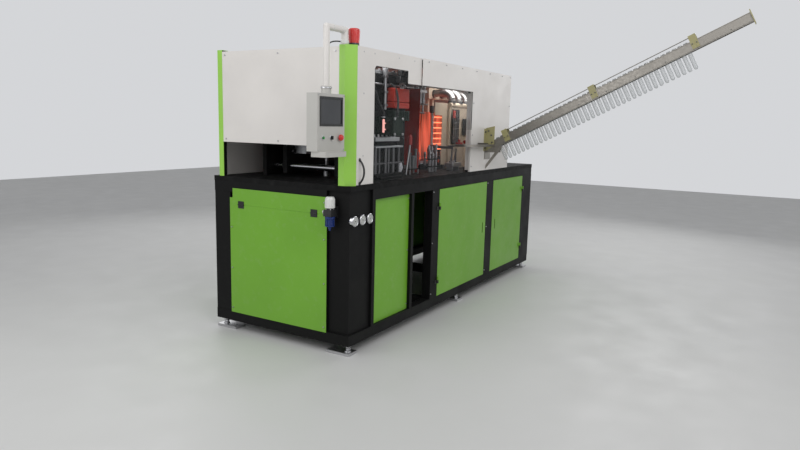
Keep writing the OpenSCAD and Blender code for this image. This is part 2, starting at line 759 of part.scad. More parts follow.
nozzle_z = rail_top - 160;
nozzle_tip = mould_z0 - 35;
spigot_r = 16;
module nozzle_block() {
    color([0.6, 0.62, 0.64]) placed() difference() {
        union() {
            span([mould_x - 235, parting_y - 60, nozzle_z], [mould_x + 235, parting_y + 60, nozzle_z + 40]);
            for (x = cavity_xs) {
                bar_z([x, parting_y, nozzle_z + 39], nozzle_r, nozzle_tip - 60 - nozzle_z - 39);
                bar_z([x, parting_y, nozzle_tip - 61], spigot_r - 0.5, 61);
            }
            for (y = lift_ys) bar_z([mould_x, y, nozzle_z + 39], 10, 81);
        }
        for (x = guide_xs) bar_z([x, parting_y, nozzle_z - 1], guide_r + run_fit, 42);
        for (x = cavity_xs) bar_z([x, parting_y, nozzle_z - 1], stretch_d / 2 + 1, 500);
    }
}

carriage_z = 650;
module stretch_carriage() {
    color([0.6, 0.62, 0.64]) placed() {
        difference() {
            span([mould_x - 235, parting_y - 50, carriage_z], [mould_x + 235, parting_y + 50, carriage_z + 30]);
            for (x = guide_xs) bar_z([x, parting_y, carriage_z - 1], guide_r + run_fit, 32);
        }
        for (x = cavity_xs) bar_z([x, parting_y, carriage_z + 29], stretch_d / 2, nozzle_tip - 5 - carriage_z - 29);
        bar_z([mould_x, parting_y, floor_z + 50], 12.5, carriage_z - floor_z - 49);
    }
}

// Rails of the transfer shuttle, the bearing of the hand-over arm and the stand of the turnover arm
shuttle_stroke = 660;
shuttle_x = 1700;
rail_ys = [parting_y - 60, parting_y + 60];
reach_x = shuttle_stroke + cavity_xs[1];
left_spindle_x = oven_x - pitch_r;
pivot_x = (reach_x + left_spindle_x) / 2;
pivot_y = parting_y + 150;
over_y = (track_y1 + pick_y) / 2;
over_z = 1465;
module transfer_rails() {
    color("silver") placed() {
        for (y = rail_ys) span([1030, y - 12, table_top], [shuttle_x + 115, y + 12, table_top + 25]);
        difference() {
            bar_z([pivot_x, pivot_y, table_top], 40, 50);
            bar_z([pivot_x, pivot_y, table_top + 3], guide_r + run_fit, 50);
        }
        difference() {
            span([pick_x - 68, over_y - 26, table_top], [pick_x - 43, over_y + 26, over_z + 30]);
            bar_x([pick_x - 69, over_y, over_z], guide_r + run_fit, 30);
        }
    }
}

grip_z = 1400;
module transfer_carriage() {
    color([0.55, 0.57, 0.6]) placed() {
        span([shuttle_x, parting_y - 90, table_top + 25], [shuttle_x + 110, parting_y + 90, table_top + 55]);
        for (s = [-1, 1]) translate([0, parting_y + s * 80, 0])
            span([shuttle_x, -7.7, table_top + 6], [shuttle_x + 110, 7.7, table_top + 26]);
        span([shuttle_x + 15, parting_y - 60, table_top + 54], [shuttle_x + 95, parting_y + 60, grip_z]);
    }
}

// Arms that hold the necks: a bar with two half-round pockets and its slide block
module gripper() {
    difference() {
        union() {
            span([reach_x - cavity_pitch - 28, parting_y - 45, grip_z],
                [shuttle_x + 100, parting_y - 4, grip_z + 15]);
            span([shuttle_x + 25, parting_y - 45, grip_z + 14], [shuttle_x + 85, parting_y - 12, grip_z + 22]);
        }
        for (x = [reach_x - cavity_pitch, reach_x]) bar_z([x, parting_y, grip_z - 1], neck_r, 17);
    }
}
module gripper_front() { color([0.2, 0.2, 0.22]) placed() gripper(); }
module gripper_rear() {
    color([0.2, 0.2, 0.22]) placed() translate([0, 2 * parting_y, 0]) mirror([0, 1, 0]) gripper();
}

// Arm that swings a preform from the oven chain to the shuttle
module handover_arm() {
    dx = left_spindle_x - pivot_x;
    dy = parting_y - pivot_y;
    reach = sqrt(dx * dx + dy * dy);
    color([0.7, 0.1, 0.08]) placed() translate([pivot_x, pivot_y, 0]) {
        bar_z([0, 0, table_top + 4], guide_r, grip_z + 24 - gap - table_top - 4);
        bar_z([0, 0, table_top + 50 + gap], 26, grip_z + 24 - 2 * gap - table_top - 50);
        rotate(atan2(dy, dx)) difference() {
            union() {
                span([0, -14, grip_z + 24], [reach + 4, 14, grip_z + 38]);
                bar_z([reach, 0, grip_z + 24], 32, 14);
                bar_z([0, 0, grip_z + 24], 34, 18);
            }
            bar_z([reach, 0, grip_z + 20], neck_r, 30);
            span([reach, -15, grip_z + 20], [reach + 40, 15, grip_z + 50]);
        }
    }
}

// Oven: bed, chain of spindles, sprockets, reflectors, lamps and housings
module oven_bed() {
    color([0.16, 0.16, 0.17]) placed() difference() {
        union() {
            for (x = [oven_x, right_x]) bar_z([x, parting_y, table_top], pitch_r + 31, 40);
            span([oven_x, lane_y - 31, table_top], [right_x, 2 * parting_y - lane_y + 31, bed_top]);
        }
        for (x = [oven_x, right_x]) bar_z([x, parting_y, table_top - 1], 30 + run_fit, 42);
    }
}

// Chain of spindles: two straight runs that slide, and a half turn on each sprocket that turns with it
half_n = sprocket_n / 2;
seat_r = 15;
waist_r = 12;
link_play = 0.9;
function chain_at(i) = i <= run_links ? [oven_x + i * chain_pitch, lane_y]
    : i <= run_links + half_n ? [right_x, parting_y] + polar(pitch_r, -90 + (i - run_links) * 180 / half_n)
    : i <= 2 * run_links + half_n ? [right_x - (i - run_links - half_n) * chain_pitch, 2 * parting_y - lane_y]
    : [oven_x, parting_y] + polar(pitch_r, 90 + (i - 2 * run_links - half_n) * 180 / half_n);
module chain_part(first, count) {
    for (i = [first:first + count - 1]) {
        a = chain_at(i);
        b = chain_at(i + 1);
        translate([a[0], a[1], bed_top]) rotate_extrude($fn = 24)
            polygon([[0, 0], [seat_r, 0], [seat_r, 30], [waist_r, 30], [waist_r, 44], [20, 46], [20, 52],
                [10, 54], [10, 84], [27, 85], [27, 90], [14, 92], [15, 108], [11, 130], [0, 132]]);
        translate([a[0], a[1], bed_top + 33]) rotate(atan2(b[1] - a[1], b[0] - a[0]))
            span([waist_r + link_play, -7, 0], [norm(b - a) - waist_r - link_play, 7, 7]);
    }
}
module front_spindles() { color("silver") placed() chain_part(0, run_links); }
module rear_spindles() { color("silver") placed() chain_part(run_links + half_n, run_links); }

// A chain sprocket with a pocket for each spindle, its shaft and the pulley under the table
module sprocket() {
    difference() {
        bar_z([0, 0, bed_top + 10], pitch_r - 1, 16);
        for (k = [0:sprocket_n - 1]) rotate(90 + k * 360 / sprocket_n)
            bar_z([pitch_r, 0, bed_top], seat_r + 2 * gap, 40);
        for (k = [0:3]) rotate(45 + k * 90) bar_z([pitch_r * 0.55, 0, bed_top], 38, 40);
    }
    bar_z([0, 0, rail_top - 70], 30, bed_top + 46 - rail_top + 70);
    difference() {
        bar_z([0, 0, rail_top - 60], 80, 40);
        for (k = [0:4]) rotate(k * 72) bar_z([50, 0, rail_top - 61], 15, 42);
    }
}
module sprocket_left() {
    color("gray") placed() {
        translate([oven_x, parting_y, 0]) sprocket();
        chain_part(2 * run_links + half_n, half_n);
    }
}
module sprocket_right() {
    color("gray") placed() {
        translate([right_x, parting_y, 0]) sprocket();
        chain_part(run_links, half_n);
    }
}

module both_lanes() {
    children();
    translate([0, 2 * parting_y, 0]) mirror([0, 1, 0]) children();
}
cover_x = 2240;
oven_end = 2900;
cover_y = lane_y - 111;
cover_top = 1890;
lip_r = 22;
vent = [2700, 1590, 2870, 1750];
module oven_housings() {
    color([0.87, 0.84, 0.76]) placed() both_lanes() {
        difference() {
            union() {
                span([cover_x, cover_y, table_top], [oven_end, cover_y + 34, cover_top]);
                bar_x([cover_x, cover_y + 4, cover_top], lip_r, oven_end - cover_x);
            }
            span([cover_x + 4, cover_y + 4, table_top + 30], [oven_end - 4, cover_y + 35, cover_top - 30]);
            span([vent[0], cover_y - 1, vent[1]], [vent[2], cover_y + 5, vent[3]]);
        }
    }
}

lamp_end = cover_x + 400;
rack_xs = [oven_x - 100, cover_x - 14, lamp_end];
rack_y = lane_y - 66;
lamp_z0 = 1450;
lamp_step = 52;
module lamp_racks() {
    color([0.6, 0.6, 0.62]) placed() both_lanes() for (x = rack_xs)
        span([x, rack_y - 9, table_top], [x + 10, rack_y + 9, lamp_z0 + lamp_rows * lamp_step]);
}

module heater_lamps() {
    color([1, 0.35, 0.15]) placed() both_lanes() for (k = [0:1]) for (i = [0:lamp_rows - 1])
        bar_x([rack_xs[k] + 10, rack_y, lamp_z0 + i * lamp_step], 6, rack_xs[k + 1] - rack_xs[k] - 10);
}

// Polished inner reflectors on the pillar between the sprockets
mirror_y = lane_y + 56;
mirror_t = 12;
pillar = [oven_x + pitch_r + 20, right_x - pitch_r - 20];
module oven_reflectors() {
    color([0.9, 0.55, 0.35]) placed() {
        both_lanes() span([oven_x - 90, mirror_y, bed_top + 60],
            [lamp_end, mirror_y + mirror_t, lamp_z0 + lamp_rows * lamp_step]);
        span([pillar[0], mirror_y + mirror_t + gap, bed_top],
            [pillar[1], 2 * parting_y - mirror_y - mirror_t - gap, lamp_z0 + 250]);
    }
}

// Painted heat shield between the clamp and the oven
shield_x = 1560;
shield_y = 330;
shield_w = 260;
shield_h = 760;
shield_t = 6;
shield_foot = 60;
shield_leg_w = 30;
shield_leg_t = 20;
shield_leg_h = 400;
shield_leg_inset = 25;
module oven_shield() {
    color([0.45, 0.06, 0.06]) placed() {
        span([shield_x, shield_y, table_top + shield_foot],
            [shield_x + shield_t, shield_y + shield_w, table_top + shield_h]);
        for (y = [shield_y, shield_y + shield_w - shield_leg_w - shield_leg_inset])
            span([shield_x - shield_leg_t, y, table_top], [shield_x, y + shield_leg_w, table_top + shield_leg_h]);
    }
}

// Infeed chute: two side rails that slope up from the window, and the curved track into the guard
chute_y = -60;
chute_z = 1450;
rail_t = 8;
track_z = chute_z + 40;
track_w = 12;
track_gap = 44;
ledge_w = 6;
ring_ledge_z = rail_h - 16;
guide_rod_r = 4;
bracket_us = [200, 1120, 2030];
track_r = 105;
module in_chute() {
    translate([chute_x, chute_y, chute_z]) rotate([-chute_slope, 0, 0]) children();
}
module track_bar(off) {
    lo = min(off, off + track_w);
    hi = max(off, off + track_w);
    span([pick_x + track_r, chute_y - hi, track_z], [chute_x + 20, chute_y - lo, track_z + 20]);
    translate([pick_x + track_r, chute_y + track_r, track_z]) rotate(180) rotate_extrude(angle = 90)
        translate([track_r + lo, 0]) square([track_w, 20]);
    span([pick_x - hi, chute_y + track_r, track_z], [pick_x - lo, track_y1 - 30, track_z + 20]);
}
module infeed_chute() {
    color([0.62, 0.61, 0.58]) placed() {
        in_chute() for (s = [-1, 1]) translate([s * (neck_gap / 2 + rail_t / 2), 0, 0])
            span([-rail_t / 2, -chute_l, 0], [rail_t / 2, 24, rail_h]);
        // ledges that the neck rings slide on
        in_chute() for (s = [-1, 1]) translate([s * (neck_gap / 2 - ledge_w / 2), 0, 0])
            span([-ledge_w / 2 - 0.1, -chute_l, ring_ledge_z - 8], [ledge_w / 2 + 0.1, 30, ring_ledge_z]);
        // rod over the neck finishes, under the bridges of the brackets
        in_chute() bar_y([0, -bracket_us[2] - 30, rail_h + 44 - guide_rod_r - 0.1], guide_rod_r,
            bracket_us[2] - bracket_us[0] + 60);
        for (off = [track_gap / 2, -track_gap / 2 - track_w]) track_bar(off);
        // stay that hangs the track on the front sheet
        span([2150, chute_y - track_gap / 2 - track_w, track_z + 19.9], [2180, -gap, track_z + 28]);
        // strut and bracket that bear the lower end of the chute on the front sheet
        translate([chute_x - neck_gap / 2 - rail_t - 4, 0, 0]) rotate([90, 0, -90]) linear_extrude(6, center = true)
            polygon([[5, 1262], [5, 1300], [150, chute_z + 50], [170, chute_z + 50], [170, chute_z + 20]]);
        span([chute_x - 70, -6, chute_z - 90], [chute_x + 70, -gap, chute_z + 30]);
        for (s = [-1, 1]) translate([chute_x + s * (neck_gap / 2 + rail_t + 4), 0, 0])
            span([-4.1, -130, chute_z - 20], [4.1, -5, chute_z + 30]);
    }
}

// Olive brackets that tie the rails, and the upper end bracket
loader_pcd = 100;
module chute_brackets() {
    color([0.68, 0.64, 0.36]) placed() in_chute() {
        for (u = bracket_us) difference() {
            span([-neck_gap / 2 - rail_t - 5, -u - 30, 12],
                [neck_gap / 2 + rail_t + 5, -u + 30, rail_h + 50]);
            span([-neck_gap / 2 - rail_t, -u - 31, 0], [neck_gap / 2 + rail_t, -u + 31, rail_h + 44]);
        }
        difference() {
            span([-50, -chute_l - 8, -20], [50, -chute_l, rail_h + 20]);
            span([-neck_gap / 2, -chute_l - 9, -21], [neck_gap / 2, -chute_l + 1, rail_h - 10]);
            for (a = [45:90:315]) translate([0, -chute_l - 9, rail_h / 2]) rotate([0, a, 0])
                bar_y([loader_pcd / 2, 0, 0], 4.5, 10);
        }
    }
}

// Preforms that hang in the chute by their neck rings
preform_pitch = 49;
preform_n = 39;
preform_r = 18;
preform_l = 150;
ring_z = ring_ledge_z + gap;
module chute_preforms() {
    color([0.85, 0.92, 0.95, 0.4]) placed() in_chute() for (k = [0:preform_n - 1])
        translate([0, -100 - k * preform_pitch, 0]) rotate_extrude($fn = 24)
            polygon([[0, -preform_l], [8, 2 - preform_l], [15, 8 - preform_l], [preform_r, 18 - preform_l],
                [preform_r, ring_z], [23.5, ring_z], [23.5, ring_z + 4], [preform_r, ring_z + 5],
                [preform_r, ring_z + 28], [0, ring_z + 28]]);
}
module turnover_arm() {
    color([0.12, 0.12, 0.13]) placed() translate([0, over_y, over_z]) {
        bar_x([pick_x - 69, 0, 0], guide_r, 52);
        bar_x([pick_x - 42, 0, 0], 28, 24);
        span([pick_x - 42, track_y1 - over_y - 12, 0], [pick_x - 20, 0, 24]);
        difference() {
            span([pick_x - 42, track_y1 - over_y - 12, 20], [pick_x + 30, track_y1 - over_y + 36, 32]);
            bar_z([pick_x, track_y1 - over_y, 10], neck_r, 30);
        }
    }
}

// Pendant on its swing arm: elbow over the mast, drop tube and the box
arm_r = 22;
arm_z = guard_top + 95;
drop_x = mast_x - arm_reach / 1.6;
pendant_z1 = guard_top - 340;
module pendant_arm() {
    color("white") placed() {
        difference() {
            bar_z([mast_x, mast_y, guard_top + gap], mast_r + 7, 95);
            bar_z([mast_x, mast_y, guard_top - 1], mast_r + run_fit, 75);
        }
        translate([mast_x, mast_y, arm_z]) sphere(r = mast_r + 7);
        bar_x([drop_x, mast_y, arm_z], arm_r, mast_x - drop_x);
        translate([drop_x, mast_y, arm_z]) sphere(r = arm_r);
        bar_z([drop_x, mast_y, pendant_z1 + 50 + gap], arm_r, arm_z - pendant_z1 - 50 - gap);
        bar_z([drop_x, mast_y, pendant_z1 - 10], 12, 80);
    }
}

pendant_x0 = drop_x - pendant_w / 2;
pendant_y0 = mast_y - pendant_t / 2;
pendant_z0 = pendant_z1 - pendant_h;
button_zs = [pendant_z0 + 130, pendant_z0 + 85];
stop_x = pendant_x0 + pendant_w - 60;
module pendant() {
    color([0.85, 0.85, 0.84]) placed() difference() {
        union() {
            span([pendant_x0, pendant_y0, pendant_z0],
                [pendant_x0 + pendant_w, pendant_y0 + pendant_t, pendant_z1]);
            bar_z([drop_x, mast_y, pendant_z1], 34, 50);
            span([pendant_x0 + 10, pendant_y0 - 60, pendant_z0 - 36],
                [pendant_x0 + pendant_w - 60, pendant_y0 + 60, pendant_z0]);
        }
        span([pendant_x0 + 25, pendant_y0 - 1, pendant_z0 + 170],
            [pendant_x0 + pendant_w - 25, pendant_y0 + 3, pendant_z1 - 25]);
        bar_z([drop_x, mast_y, pendant_z1 - 12], 12 + run_fit, 70);
        for (x = [stop_x, pendant_x0 + 60, pendant_x0 + pendant_w / 2])
            bar_y([x, pendant_y0 - 1, pendant_z0 + 90], 8 + run_fit, 30);
    }
}
module emergency_stop() {
    color([0.85, 0.05, 0.05]) placed() translate([stop_x, pendant_y0, pendant_z0 + 90]) rotate([90, 0, 0]) {
        rotate_extrude() polygon([[0, -22], [8, -22], [8, 8], [20, 10], [21, 18], [16, 26], [0, 28]]);
    }
}
module start_button() {
    color([0.1, 0.6, 0.2]) placed() bar_y([pendant_x0 + 60, pendant_y0 - 8, pendant_z0 + 90], 8, 30);
}
module mode_switch() {
    color([0.1, 0.1, 0.1]) placed() {
        bar_y([pendant_x0 + pendant_w / 2, pendant_y0 - 8, pendant_z0 + 90], 8, 30);
        bar_y([pendant_x0 + pendant_w / 2, pendant_y0 - 8, pendant_z0 + 90], 13, 8 - gap);
        span([pendant_x0 + pendant_w / 2 - 3, pendant_y0 - 18, pendant_z0 + 78],
            [pendant_x0 + pendant_w / 2 + 3, pendant_y0 - 7, pendant_z0 + 102]);
    }
}

levelling_feet();
base_long_rails();
base_cross_rails();
base_posts();
base_panels();
table_plate();
service_column();
pressure_gauges();
air_filter();
filter_bowl();
regulator_knob();
door_hinges();
base_door_a();
base_door_b();
green_posts();
guard_long_rails();
guard_uprights();
fixed_pane();
sliding_door();
door_pane();
door_handle();
guard_sheets();
beacon();
oven_shield();
clamp_end_plates();
tie_bars();
clamp_cylinders();
front_platen();
front_mould();
rear_platen();
rear_mould();
sync_pinion();
base_plugs();
plug_cylinders();
blow_guides();
nozzle_block();
stretch_carriage();
transfer_rails();
transfer_carriage();
gripper_front();
gripper_rear();
handover_arm();
oven_bed();
sprocket_left();
sprocket_right();
front_spindles();
rear_spindles();
oven_housings();
oven_reflectors();
lamp_racks();
heater_lamps();
infeed_chute();
chute_brackets();
chute_preforms();
turnover_arm();
pendant_arm();
pendant();
emergency_stop();
start_button();
mode_switch();
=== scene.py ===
"""Looks of a linear stretch blow moulding machine for large bottles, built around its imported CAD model.

Places and sizes of the fittings are millimetres from the front left corner of the machine's table, with
heights from the floor, as a maker would take them from the drawing. at() turns them into the frame's metres.
"""

import math
from itertools import product

import bmesh
import bpy
from mathutils import Matrix, Vector


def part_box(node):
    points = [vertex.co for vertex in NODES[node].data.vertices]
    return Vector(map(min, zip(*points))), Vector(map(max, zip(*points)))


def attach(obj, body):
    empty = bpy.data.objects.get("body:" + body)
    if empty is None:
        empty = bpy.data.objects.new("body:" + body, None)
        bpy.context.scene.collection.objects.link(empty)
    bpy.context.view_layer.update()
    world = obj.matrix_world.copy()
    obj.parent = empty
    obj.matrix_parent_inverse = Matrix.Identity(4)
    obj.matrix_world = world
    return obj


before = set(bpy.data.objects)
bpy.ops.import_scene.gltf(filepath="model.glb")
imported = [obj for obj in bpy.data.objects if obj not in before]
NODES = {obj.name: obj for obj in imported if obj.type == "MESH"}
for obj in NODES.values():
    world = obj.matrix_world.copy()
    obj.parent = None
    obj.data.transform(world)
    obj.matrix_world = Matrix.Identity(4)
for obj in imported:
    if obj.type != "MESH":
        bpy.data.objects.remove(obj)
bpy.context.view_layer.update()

bl_info = {
    "name": "Blow Moulding Machine",
    "version": (1, 0, 0),
    "blender": (4, 5, 0),
    "location": "View3D > Sidebar > Machine",
    "description": "Finishes and small fittings of a linear stretch blow moulding machine",
    "category": "Object",
}

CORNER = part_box("table_plate")[0]

UP, LEFT, RIGHT, FRONT, BACK = (0, 0, 1), (-1, 0, 0), (1, 0, 0), (0, -1, 0), (0, 1, 0)

# Height of the table, length and depth of the base, top and length of the guard
TABLE = round(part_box("table_plate")[1].z * 1000)
BASE_L, BASE_D = 3770, 1330
GUARD_TOP, GUARD_L = TABLE + 970, 2960

# Plane where the mould halves meet, middle of the clamp, its two cavities and its front end plate
PARTING = 665
MOULD_X, MOULD_Z = 715, 1670
CAVITY_XS = (MOULD_X - 110, MOULD_X + 110)
END_PLATE = 215
PLUG_TOP = 2204

# Row of gauges, and the middle of the air filter
GAUGE_FACE, GAUGE_Z = -12.2, 999
FILTER_X, FILTER_Y = -38, 150

# Faces, lamps and ducts of the oven, and the shafts of its sprockets
OVEN_FACE, LAMP_Y, DUCT_Y = 343.97, 404.97, 374
LAMP_ZS = range(1450, 1763, 52)
DUCT_XS = range(2310, 2806, 165)
SPROCKET_XS = {"left": 2050, "right": 2659.6}

# Row of fingers and rods behind the front window
FINGER_Y = 268

# Lower end, slope and length of the infeed chute
CHUTE_X, CHUTE_Y, CHUTE_Z = 2390, -60, 1450
CHUTE_SLOPE = math.radians(27)
CHUTE_L = 2480

# Mast of the pendant's arm, its reach to the left, and the tube that drops from its end
MAST_X, MAST_Y = 23, 80
ARM_REACH = 206.25
DROP_X = MAST_X - ARM_REACH

# Operator pendant: its width, its height, and how far its top lies below the guard's
PENDANT_W, PENDANT_H, PENDANT_DROP = 300, 380, 340

# Head diameter of a screw over its nominal size
HEAD = 1.56


def at(x, y, z):
    """A place on the machine, in millimetres from the table's front left corner, as frame metres."""
    return Vector((CORNER.x + x / 1000, CORNER.y + y / 1000, z / 1000))


# Settings

class MachineColours(bpy.types.PropertyGroup):
    """Colours of the painted and moulded parts."""
    lime: bpy.props.FloatVectorProperty(
        name="Lime", description="Paint of the doors, panels and corner posts",
        subtype="COLOR", size=3, min=0, max=1, default=(0.17, 0.415, 0.029))
    white: bpy.props.FloatVectorProperty(
        name="White", description="Paint of the guard sheets and the sliding door",
        subtype="COLOR", size=3, min=0, max=1, default=(0.74, 0.71, 0.68))
    black: bpy.props.FloatVectorProperty(
        name="Frame Black", description="Powder coat of the frame tubes",
        subtype="COLOR", size=3, min=0, max=1, default=(0.007, 0.007, 0.007))
    cream: bpy.props.FloatVectorProperty(
        name="Oven Cream", description="Paint of the oven housings",
        subtype="COLOR", size=3, min=0, max=1, default=(0.64, 0.53, 0.4))
    # The shield's dark red is partly its paint and partly painted light: the red glow of the oven lamps
    # falling on it is painted into this colour.
    shield: bpy.props.FloatVectorProperty(
        name="Shield Red", description="Paint of the heat shield beside the oven",
        subtype="COLOR", size=3, min=0, max=1, default=(0.3, 0.018, 0.013))
    signal: bpy.props.FloatVectorProperty(
        name="Signal Red", description="Lens of the beacon and the stop button",
        subtype="COLOR", size=3, min=0, max=1, default=(0.62, 0.02, 0.015))


class MachineSizes(bpy.types.PropertyGroup):
    """Sizes of the small fittings, and strengths of the light."""
    hose_d: bpy.props.FloatProperty(
        name="Hose Diameter", description="Outer diameter of the large air hoses",
        default=0.019, min=0.01, max=0.03, unit="LENGTH")
    tube_d: bpy.props.FloatProperty(
        name="Tube Diameter", description="Outer diameter of the small air tubes",
        default=0.01, min=0.004, max=0.014, unit="LENGTH")
    duct_d: bpy.props.FloatProperty(
        name="Duct Diameter", description="Outer diameter of the flexible cooling ducts over the oven",
        default=0.075, min=0.05, max=0.12, unit="LENGTH")
    screw_d: bpy.props.FloatProperty(
        name="Screw Head", description="Head diameter of the sheet screws",
        default=0.011, min=0.006, max=0.02, unit="LENGTH")
    lamp_glow: bpy.props.FloatProperty(
        name="Lamp Glow", description="Emission strength of the oven lamps",
        default=2.6, min=0, max=40)
    key: bpy.props.FloatProperty(
        name="Key Light", description="Power of the large softbox over the front, in watts",
        default=120, min=0, max=2000)
    fill: bpy.props.FloatProperty(
        name="Fill Light", description="Power of the softbox at the left end, in watts",
        default=64, min=0, max=2000)
    world: bpy.props.FloatProperty(
        name="World", description="Strength of the plain grey surroundings",
        default=0.4, min=0, max=2)


def colours():
    return bpy.context.scene.machine_colours


def sizes():
    return bpy.context.scene.machine_sizes


def screw_size():
    """Nominal size of the sheet screws in millimetres, from their head."""
    return sizes().screw_d * 1000 / HEAD


# Materials

class Finish:
    """A node material under construction: a Principled shader and a few helpers around it."""

    def __init__(self, name, colour, rough, metal=0.0, **sockets):
        self.mat = bpy.data.materials.new(name)
        self.mat.use_nodes = True
        self.tree = self.mat.node_tree
        self.shader = self.tree.nodes["Principled BSDF"]
        self.place = self.tree.nodes.new("ShaderNodeTexCoord").outputs["Object"]
        self.colour = colour
        self.set("Base Color", (*colour, 1))
        self.set("Roughness", rough)
        self.set("Metallic", metal)
        for key, value in sockets.items():
            self.set(key.replace("_", " "), value)

    def set(self, socket, value):
        """Gives a socket of the shader a fixed value."""
        self.shader.inputs[socket].default_value = value

    def node(self, kind, **values):
        """Adds a node, and sets its properties and sockets by their names."""
        made = self.tree.nodes.new(kind)
        for key, value in values.items():
            if hasattr(made, key):
                setattr(made, key, value)
            else:
                made.inputs[key.replace("_", " ")].default_value = value
        return made

    def link(self, output, socket):
        """Leads an output into a socket."""
        self.tree.links.new(output, socket)

    def noise(self, scale, detail, stretch=None):
        """A noise value over the piece, stretched along an axis where the finish is brushed."""
        made = self.node("ShaderNodeTexNoise", Scale=scale, Detail=detail)
        source = self.place
        if stretch:
            mapping = self.node("ShaderNodeMapping")
            mapping.inputs["Scale"].default_value = stretch
            self.link(source, mapping.inputs["Vector"])
            source = mapping.outputs["Vector"]
        self.link(source, made.inputs["Vector"])
        return made.outputs["Fac"]

    def range(self, value, low, high, to_low, to_high):
        """Stretches a value from one span of numbers onto another."""
        made = self.node("ShaderNodeMapRange")
        limits = {"From Min": low, "From Max": high, "To Min": to_low, "To Max": to_high}
        for socket, number in limits.items():
            made.inputs[socket].default_value = number
        self.link(value, made.inputs["Value"])
        return made.outputs["Result"]

    def tint(self, value, low, high, most, other):
        """Mixes the base colour towards another, more and more as the value goes from low to high."""
        made = self.node("ShaderNodeMix", data_type="RGBA")
        made.inputs["A"].default_value = (*self.colour, 1)
        made.inputs["B"].default_value = (*other, 1)
        current = self.shader.inputs["Base Color"]
        if current.is_linked:
            self.link(current.links[0].from_socket, made.inputs["A"])
        self.link(self.range(value, low, high, 0, most), made.inputs["Factor"])
        self.link(made.outputs["Result"], current)

    def bump(self, value, strength, distance):
        """Raises the surface where the value is high, on top of any bump that is there already."""
        made = self.node("ShaderNodeBump", Strength=strength, Distance=distance)
        normal = self.shader.inputs["Normal"]
        if normal.is_linked:
            self.link(normal.links[0].from_socket, made.inputs["Normal"])
        self.link(value, made.inputs["Height"])
        self.link(made.outputs["Normal"], normal)

    def rough(self, value, low, high):
        """Lets the roughness follow a value."""
        self.link(self.range(value, 0.3, 0.7, low, high), self.shader.inputs["Roughness"])


def lighter(colour, by):
    return tuple(min(1, c + by * (1 - c)) for c in colour)


def darker(colour, by):
    return tuple(c * (1 - by) for c in colour)


def painted(name, colour, rough, peel=0.05, dust=0.1, gloss=0.5):
    """Sprayed or powder-coated sheet: orange peel, slow colour drift and a little dust."""
    f = Finish(name, colour, rough, Specular_IOR_Level=gloss)
    f.tint(f.noise(2.2, 3), 0.35, 0.7, 0.5, darker(colour, 0.16))
    f.tint(f.noise(23, 6), 0.55, 0.85, dust, (0.5, 0.49, 0.46))
    f.rough(f.noise(5, 5), rough - 0.06, rough + 0.1)
    f.bump(f.noise(420, 2), peel, 0.0006)
    return f.mat


def metal(name, colour, rough, grain=(1, 1, 30), depth=0.12, stain=0.25):
    """Machined, drawn or plated metal: grain is how much finer its noise is along X, Y and Z."""
    f = Finish(name, colour, rough, 1.0)
    lines = f.noise(60, 5, grain)
    f.tint(lines, 0.3, 0.7, 0.35, darker(colour, 0.3))
    f.tint(f.noise(6, 4), 0.5, 0.8, stain, darker(colour, 0.45))
    f.rough(lines, rough - 0.08, rough + 0.12)
    f.bump(lines, depth, 0.0004)
    return f.mat


def casting(name, colour):
    """Painted cast iron with a sandy skin."""
    f = Finish(name, colour, 0.6, Specular_IOR_Level=0.1)
    f.tint(f.noise(14, 6), 0.45, 0.75, 0.5, lighter(colour, 0.015))
    f.rough(f.noise(30, 4), 0.5, 0.72)
    f.bump(f.noise(180, 6), 0.35, 0.0015)
    return f.mat


def moulded(name, colour, rough, grain=0.08, coat=0.0):
    """Injection-moulded plastic with a fine grain."""
    f = Finish(name, colour, rough, Coat_Weight=coat)
    f.tint(f.noise(8, 4), 0.4, 0.75, 0.3, lighter(colour, 0.05))
    f.rough(f.noise(12, 4), rough - 0.05, rough + 0.08)
    f.bump(f.noise(600, 2), grain, 0.0004)
    return f.mat


def rubber(name, colour):
    """Rubber or braided hose skin."""
    f = Finish(name, colour, 0.62)
    f.tint(f.noise(40, 5), 0.4, 0.8, 0.4, lighter(colour, 0.08))
    f.rough(f.noise(25, 4), 0.5, 0.72)
    f.bump(f.noise(350, 3), 0.15, 0.0006)
    return f.mat


def clear(name, colour, face, edge, rough=0.04, scratch=0.03):
    """Clear sheet or bottle plastic: faint face on, denser towards its edges, with fine scratches."""
    f = Finish(name, colour, rough, Specular_IOR_Level=0.6)
    weight = f.node("ShaderNodeLayerWeight", Blend=0.35)
    alpha = f.range(weight.outputs["Facing"], 0.0, 1.0, face, edge)
    f.link(alpha, f.shader.inputs["Alpha"])
    f.rough(f.noise(9, 6), rough, rough + 0.08)
    f.bump(f.noise(90, 6, (1, 1, 0.15)), scratch, 0.0004)
    return f.mat


def glowing(name, colour, strength, ends):
    """A hot lamp tube: an even glow with the filament's slow ripple along it."""
    f = Finish(name, colour, 0.3)
    ripple = f.noise(11, 3, (1, 0.1, 0.1))
    f.link(f.range(ripple, 0.2, 0.8, strength * ends, strength), f.shader.inputs["Emission Strength"])
    f.set("Emission Color", (*colour, 1))
    return f.mat


def painted_lamp_glow(finished, colour, strength):
    """Painted light: a low even red glow over the finish, standing in for the lamps' red that a lit reflector
    throws onto the part.
    """
    shader = finished.node_tree.nodes["Principled BSDF"]
    shader.inputs["Emission Color"].default_value = (*colour, 1)
    shader.inputs["Emission Strength"].default_value = strength
    return finished


def reflector(name, colour, glow, strength):
    """Ribbed reflector with painted reflection: the lamps' red that it throws back is painted as a glow in
    upright streaks, and its base colour is darkened along the same streaks.
    """
    f = Finish(name, colour, 0.34, 1.0)
    streaks = f.noise(16, 2, (1, 1, 0.12))
    f.tint(streaks, 0.35, 0.65, 0.7, darker(colour, 0.6))
    f.rough(f.noise(60, 4, (1, 1, 18)), 0.3, 0.5)
    f.set("Emission Color", (*glow, 1))
    f.link(f.range(streaks, 0.42, 0.66, 0.02, strength), f.shader.inputs["Emission Strength"])
    return f.mat


